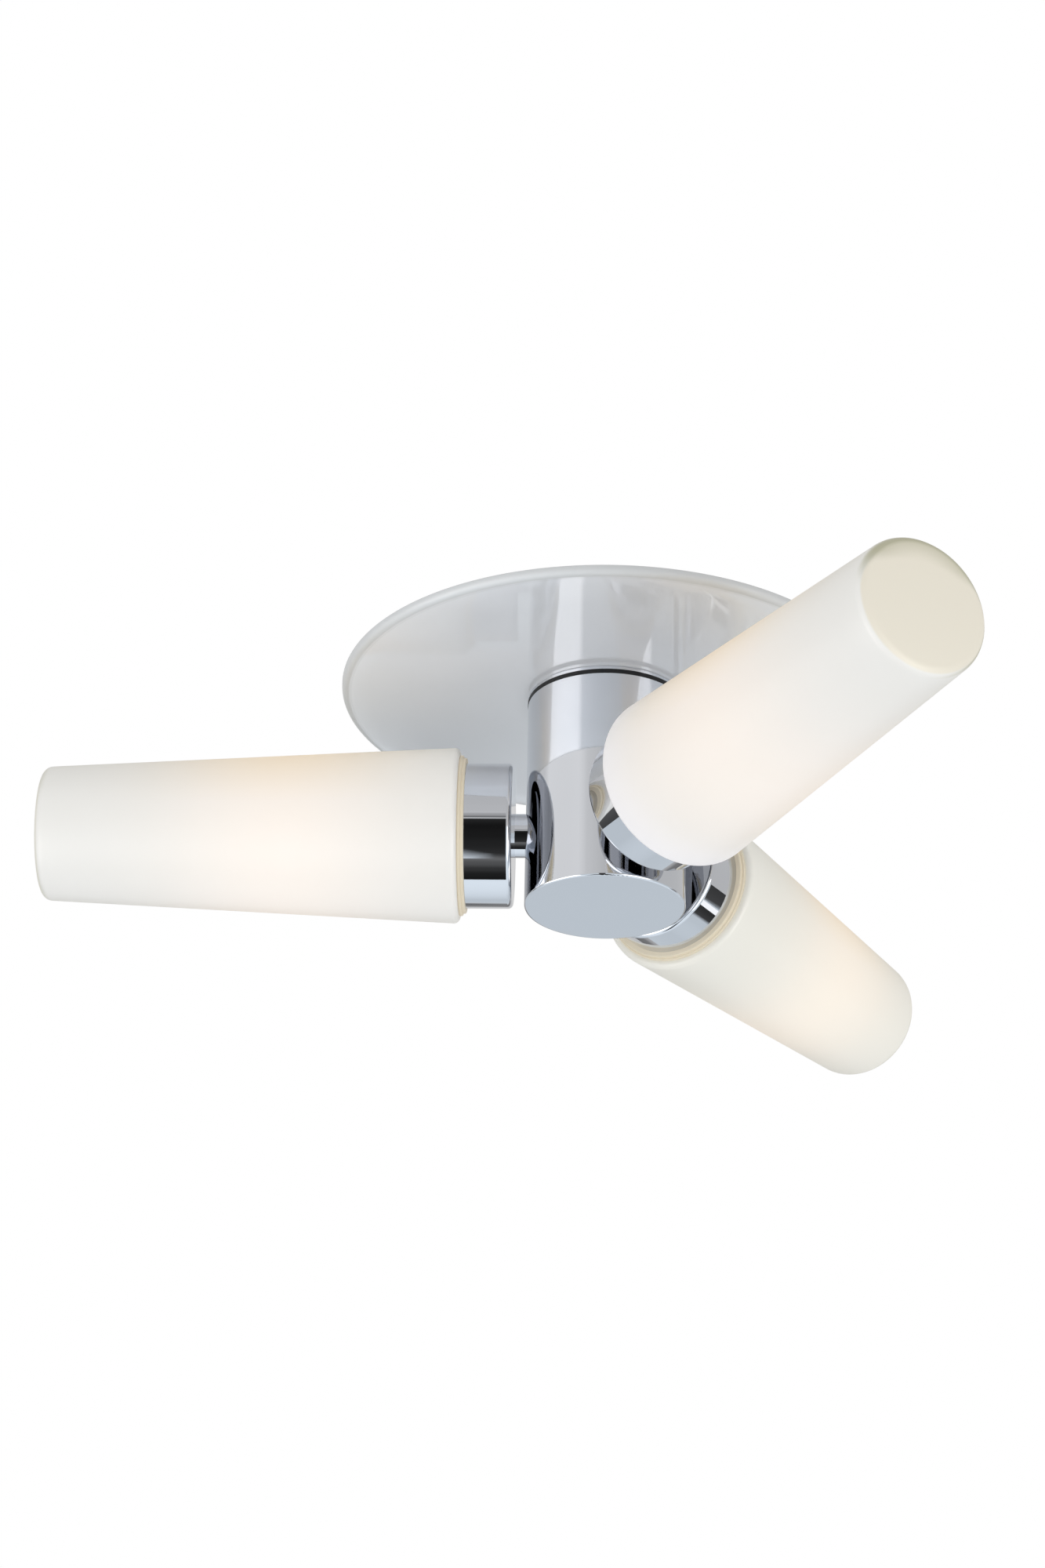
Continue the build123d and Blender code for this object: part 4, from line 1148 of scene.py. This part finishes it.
# and the plate mirrors a dark card close behind the object, beside the hub: a painted shadow of the left cup and
# glass
darkCorner = {
    "middle": (-98 * mm, 568 * mm, -268 * mm),
    "halfWidth": 82 * mm,
    "below": 50 * mm,
    "above": 32 * mm,
    "slope": (0, 0.445, 0.895),
    "brightness": (0.19, 0.09, 0.015, 0.01),
    "fade": 0.45,
}
addCard("darkCorner", [
    Vector(darkCorner["middle"]) + Vector((way * darkCorner["halfWidth"], 0, 0)) + Vector(darkCorner["slope"]) * run
    for way, run in ((-1, -darkCorner["below"]), (1, -darkCorner["below"]),
                     (1, darkCorner["above"]), (-1, darkCorner["above"]))],
    darkCorner["brightness"], darkCorner["fade"])

# World: white to the eye and in reflections, a plain pale light on the object
world = bpy.data.worlds.new("paleStudio")
world.use_nodes = True
bpy.context.scene.world = world
world.node_tree.nodes.clear()
add = partial(addNode, world.node_tree)
rays = add("LightPath").node.outputs
seen = add("MAXIMUM", rays["Is Camera Ray"], rays["Is Transmission Ray"])
towards = add("TexCoord", output="Generated")
height = add("SeparateXYZ", {"Vector": towards}, output="Z")
onObject = add("MapRange", {
    "Value": height, "To Min": studio["worldAtHorizon"], "To Max": studio["worldOverhead"]})
leftward = add("VectorMath", towards, studio["worldLeft"], operation="DOT_PRODUCT", output="Value")
inChrome = add("MapRange", {
    "Value": leftward, "From Min": studio["worldTurns"][0], "From Max": studio["worldTurns"][1],
    "To Min": studio["worldInChrome"][0], "To Max": studio["worldInChrome"][1]})
indirect = add("Mix", {
    "Factor": rays["Is Glossy Ray"], 2: onObject, 3: inChrome}, data_type="FLOAT")
strength = add("Mix", {"Factor": seen, 2: indirect, 3: 1.0}, data_type="FLOAT")
add("OutputWorld", {"Surface": add("Background", {"Color": (1, 1, 1, 1), "Strength": strength})})

softLights = [  # name, place, aim, width, height, watts
    ("keySoftbox", (-1.1, -1.9, -2.0), (0, 0, -0.06), 1.6, 1.6, 12),
    ("fillSoftbox", (1.7, -1.0, -1.8), (0, 0, -0.06), 1.4, 1.4, 11.5),
]
for name, place, aim, width, height, watts in softLights:
    light = bpy.data.lights.new(name, "AREA")
    light.shape = "RECTANGLE"
    light.size, light.size_y, light.energy = width, height, watts
    lamp = bpy.data.objects.new(name, light)
    bpy.context.scene.collection.objects.link(lamp)
    lamp.location = place
    lamp.rotation_mode = "QUATERNION"
    lamp.rotation_quaternion = (Vector(aim) - Vector(place)).to_track_quat("-Z", "Y")
    lamp.visible_glossy = False

# Camera, worked out from the photographed outlines
camera = {
    "distance": 1312.5 * mm,
    "aimLevel": -50 * mm,
    "belowDegrees": 25.056,
    "roundDegrees": 0.735,  # the camera's walk round the object
    "panDegrees": 1.371,
    "tiltDegrees": 0.45,
    "rollDegrees": -0.6,
    "focalPixels": 4457.9,
    "imageHeight": 2000,
    "sensorWidth": 36,
    "clip": (0.05, 60),
}
below = math.radians(camera["belowDegrees"])
ahead = Vector((0, math.cos(below), math.sin(below)))
right = Vector((1, 0, 0))
up = right.cross(ahead)
place = Vector((0, 0, camera["aimLevel"])) - ahead * camera["distance"]
pan = Matrix.Rotation(math.radians(camera["panDegrees"]), 3, up)
ahead, right = pan @ ahead, pan @ right
tilt = Matrix.Rotation(math.radians(camera["tiltDegrees"]), 3, right)
ahead, up = tilt @ ahead, tilt @ up
roll = Matrix.Rotation(math.radians(camera["rollDegrees"]), 3, ahead)
right, up = roll @ right, roll @ up
walk = Matrix.Rotation(math.radians(camera["roundDegrees"]), 3, "Z")
place, ahead, right, up = walk @ place, walk @ ahead, walk @ right, walk @ up
view = bpy.data.cameras.new("photoView")
view.sensor_width = camera["sensorWidth"]
view.lens = camera["focalPixels"] * view.sensor_width / camera["imageHeight"]
view.clip_start, view.clip_end = camera["clip"]
eye = bpy.data.objects.new("photoView", view)
bpy.context.scene.collection.objects.link(eye)
eye.matrix_world = Matrix.Translation(place) @ Matrix((right, up, -ahead)).transposed().to_4x4()
bpy.context.scene.camera = eye
bpy.context.scene.view_settings.view_transform = "Standard"
print("camera, lights and floor placed")
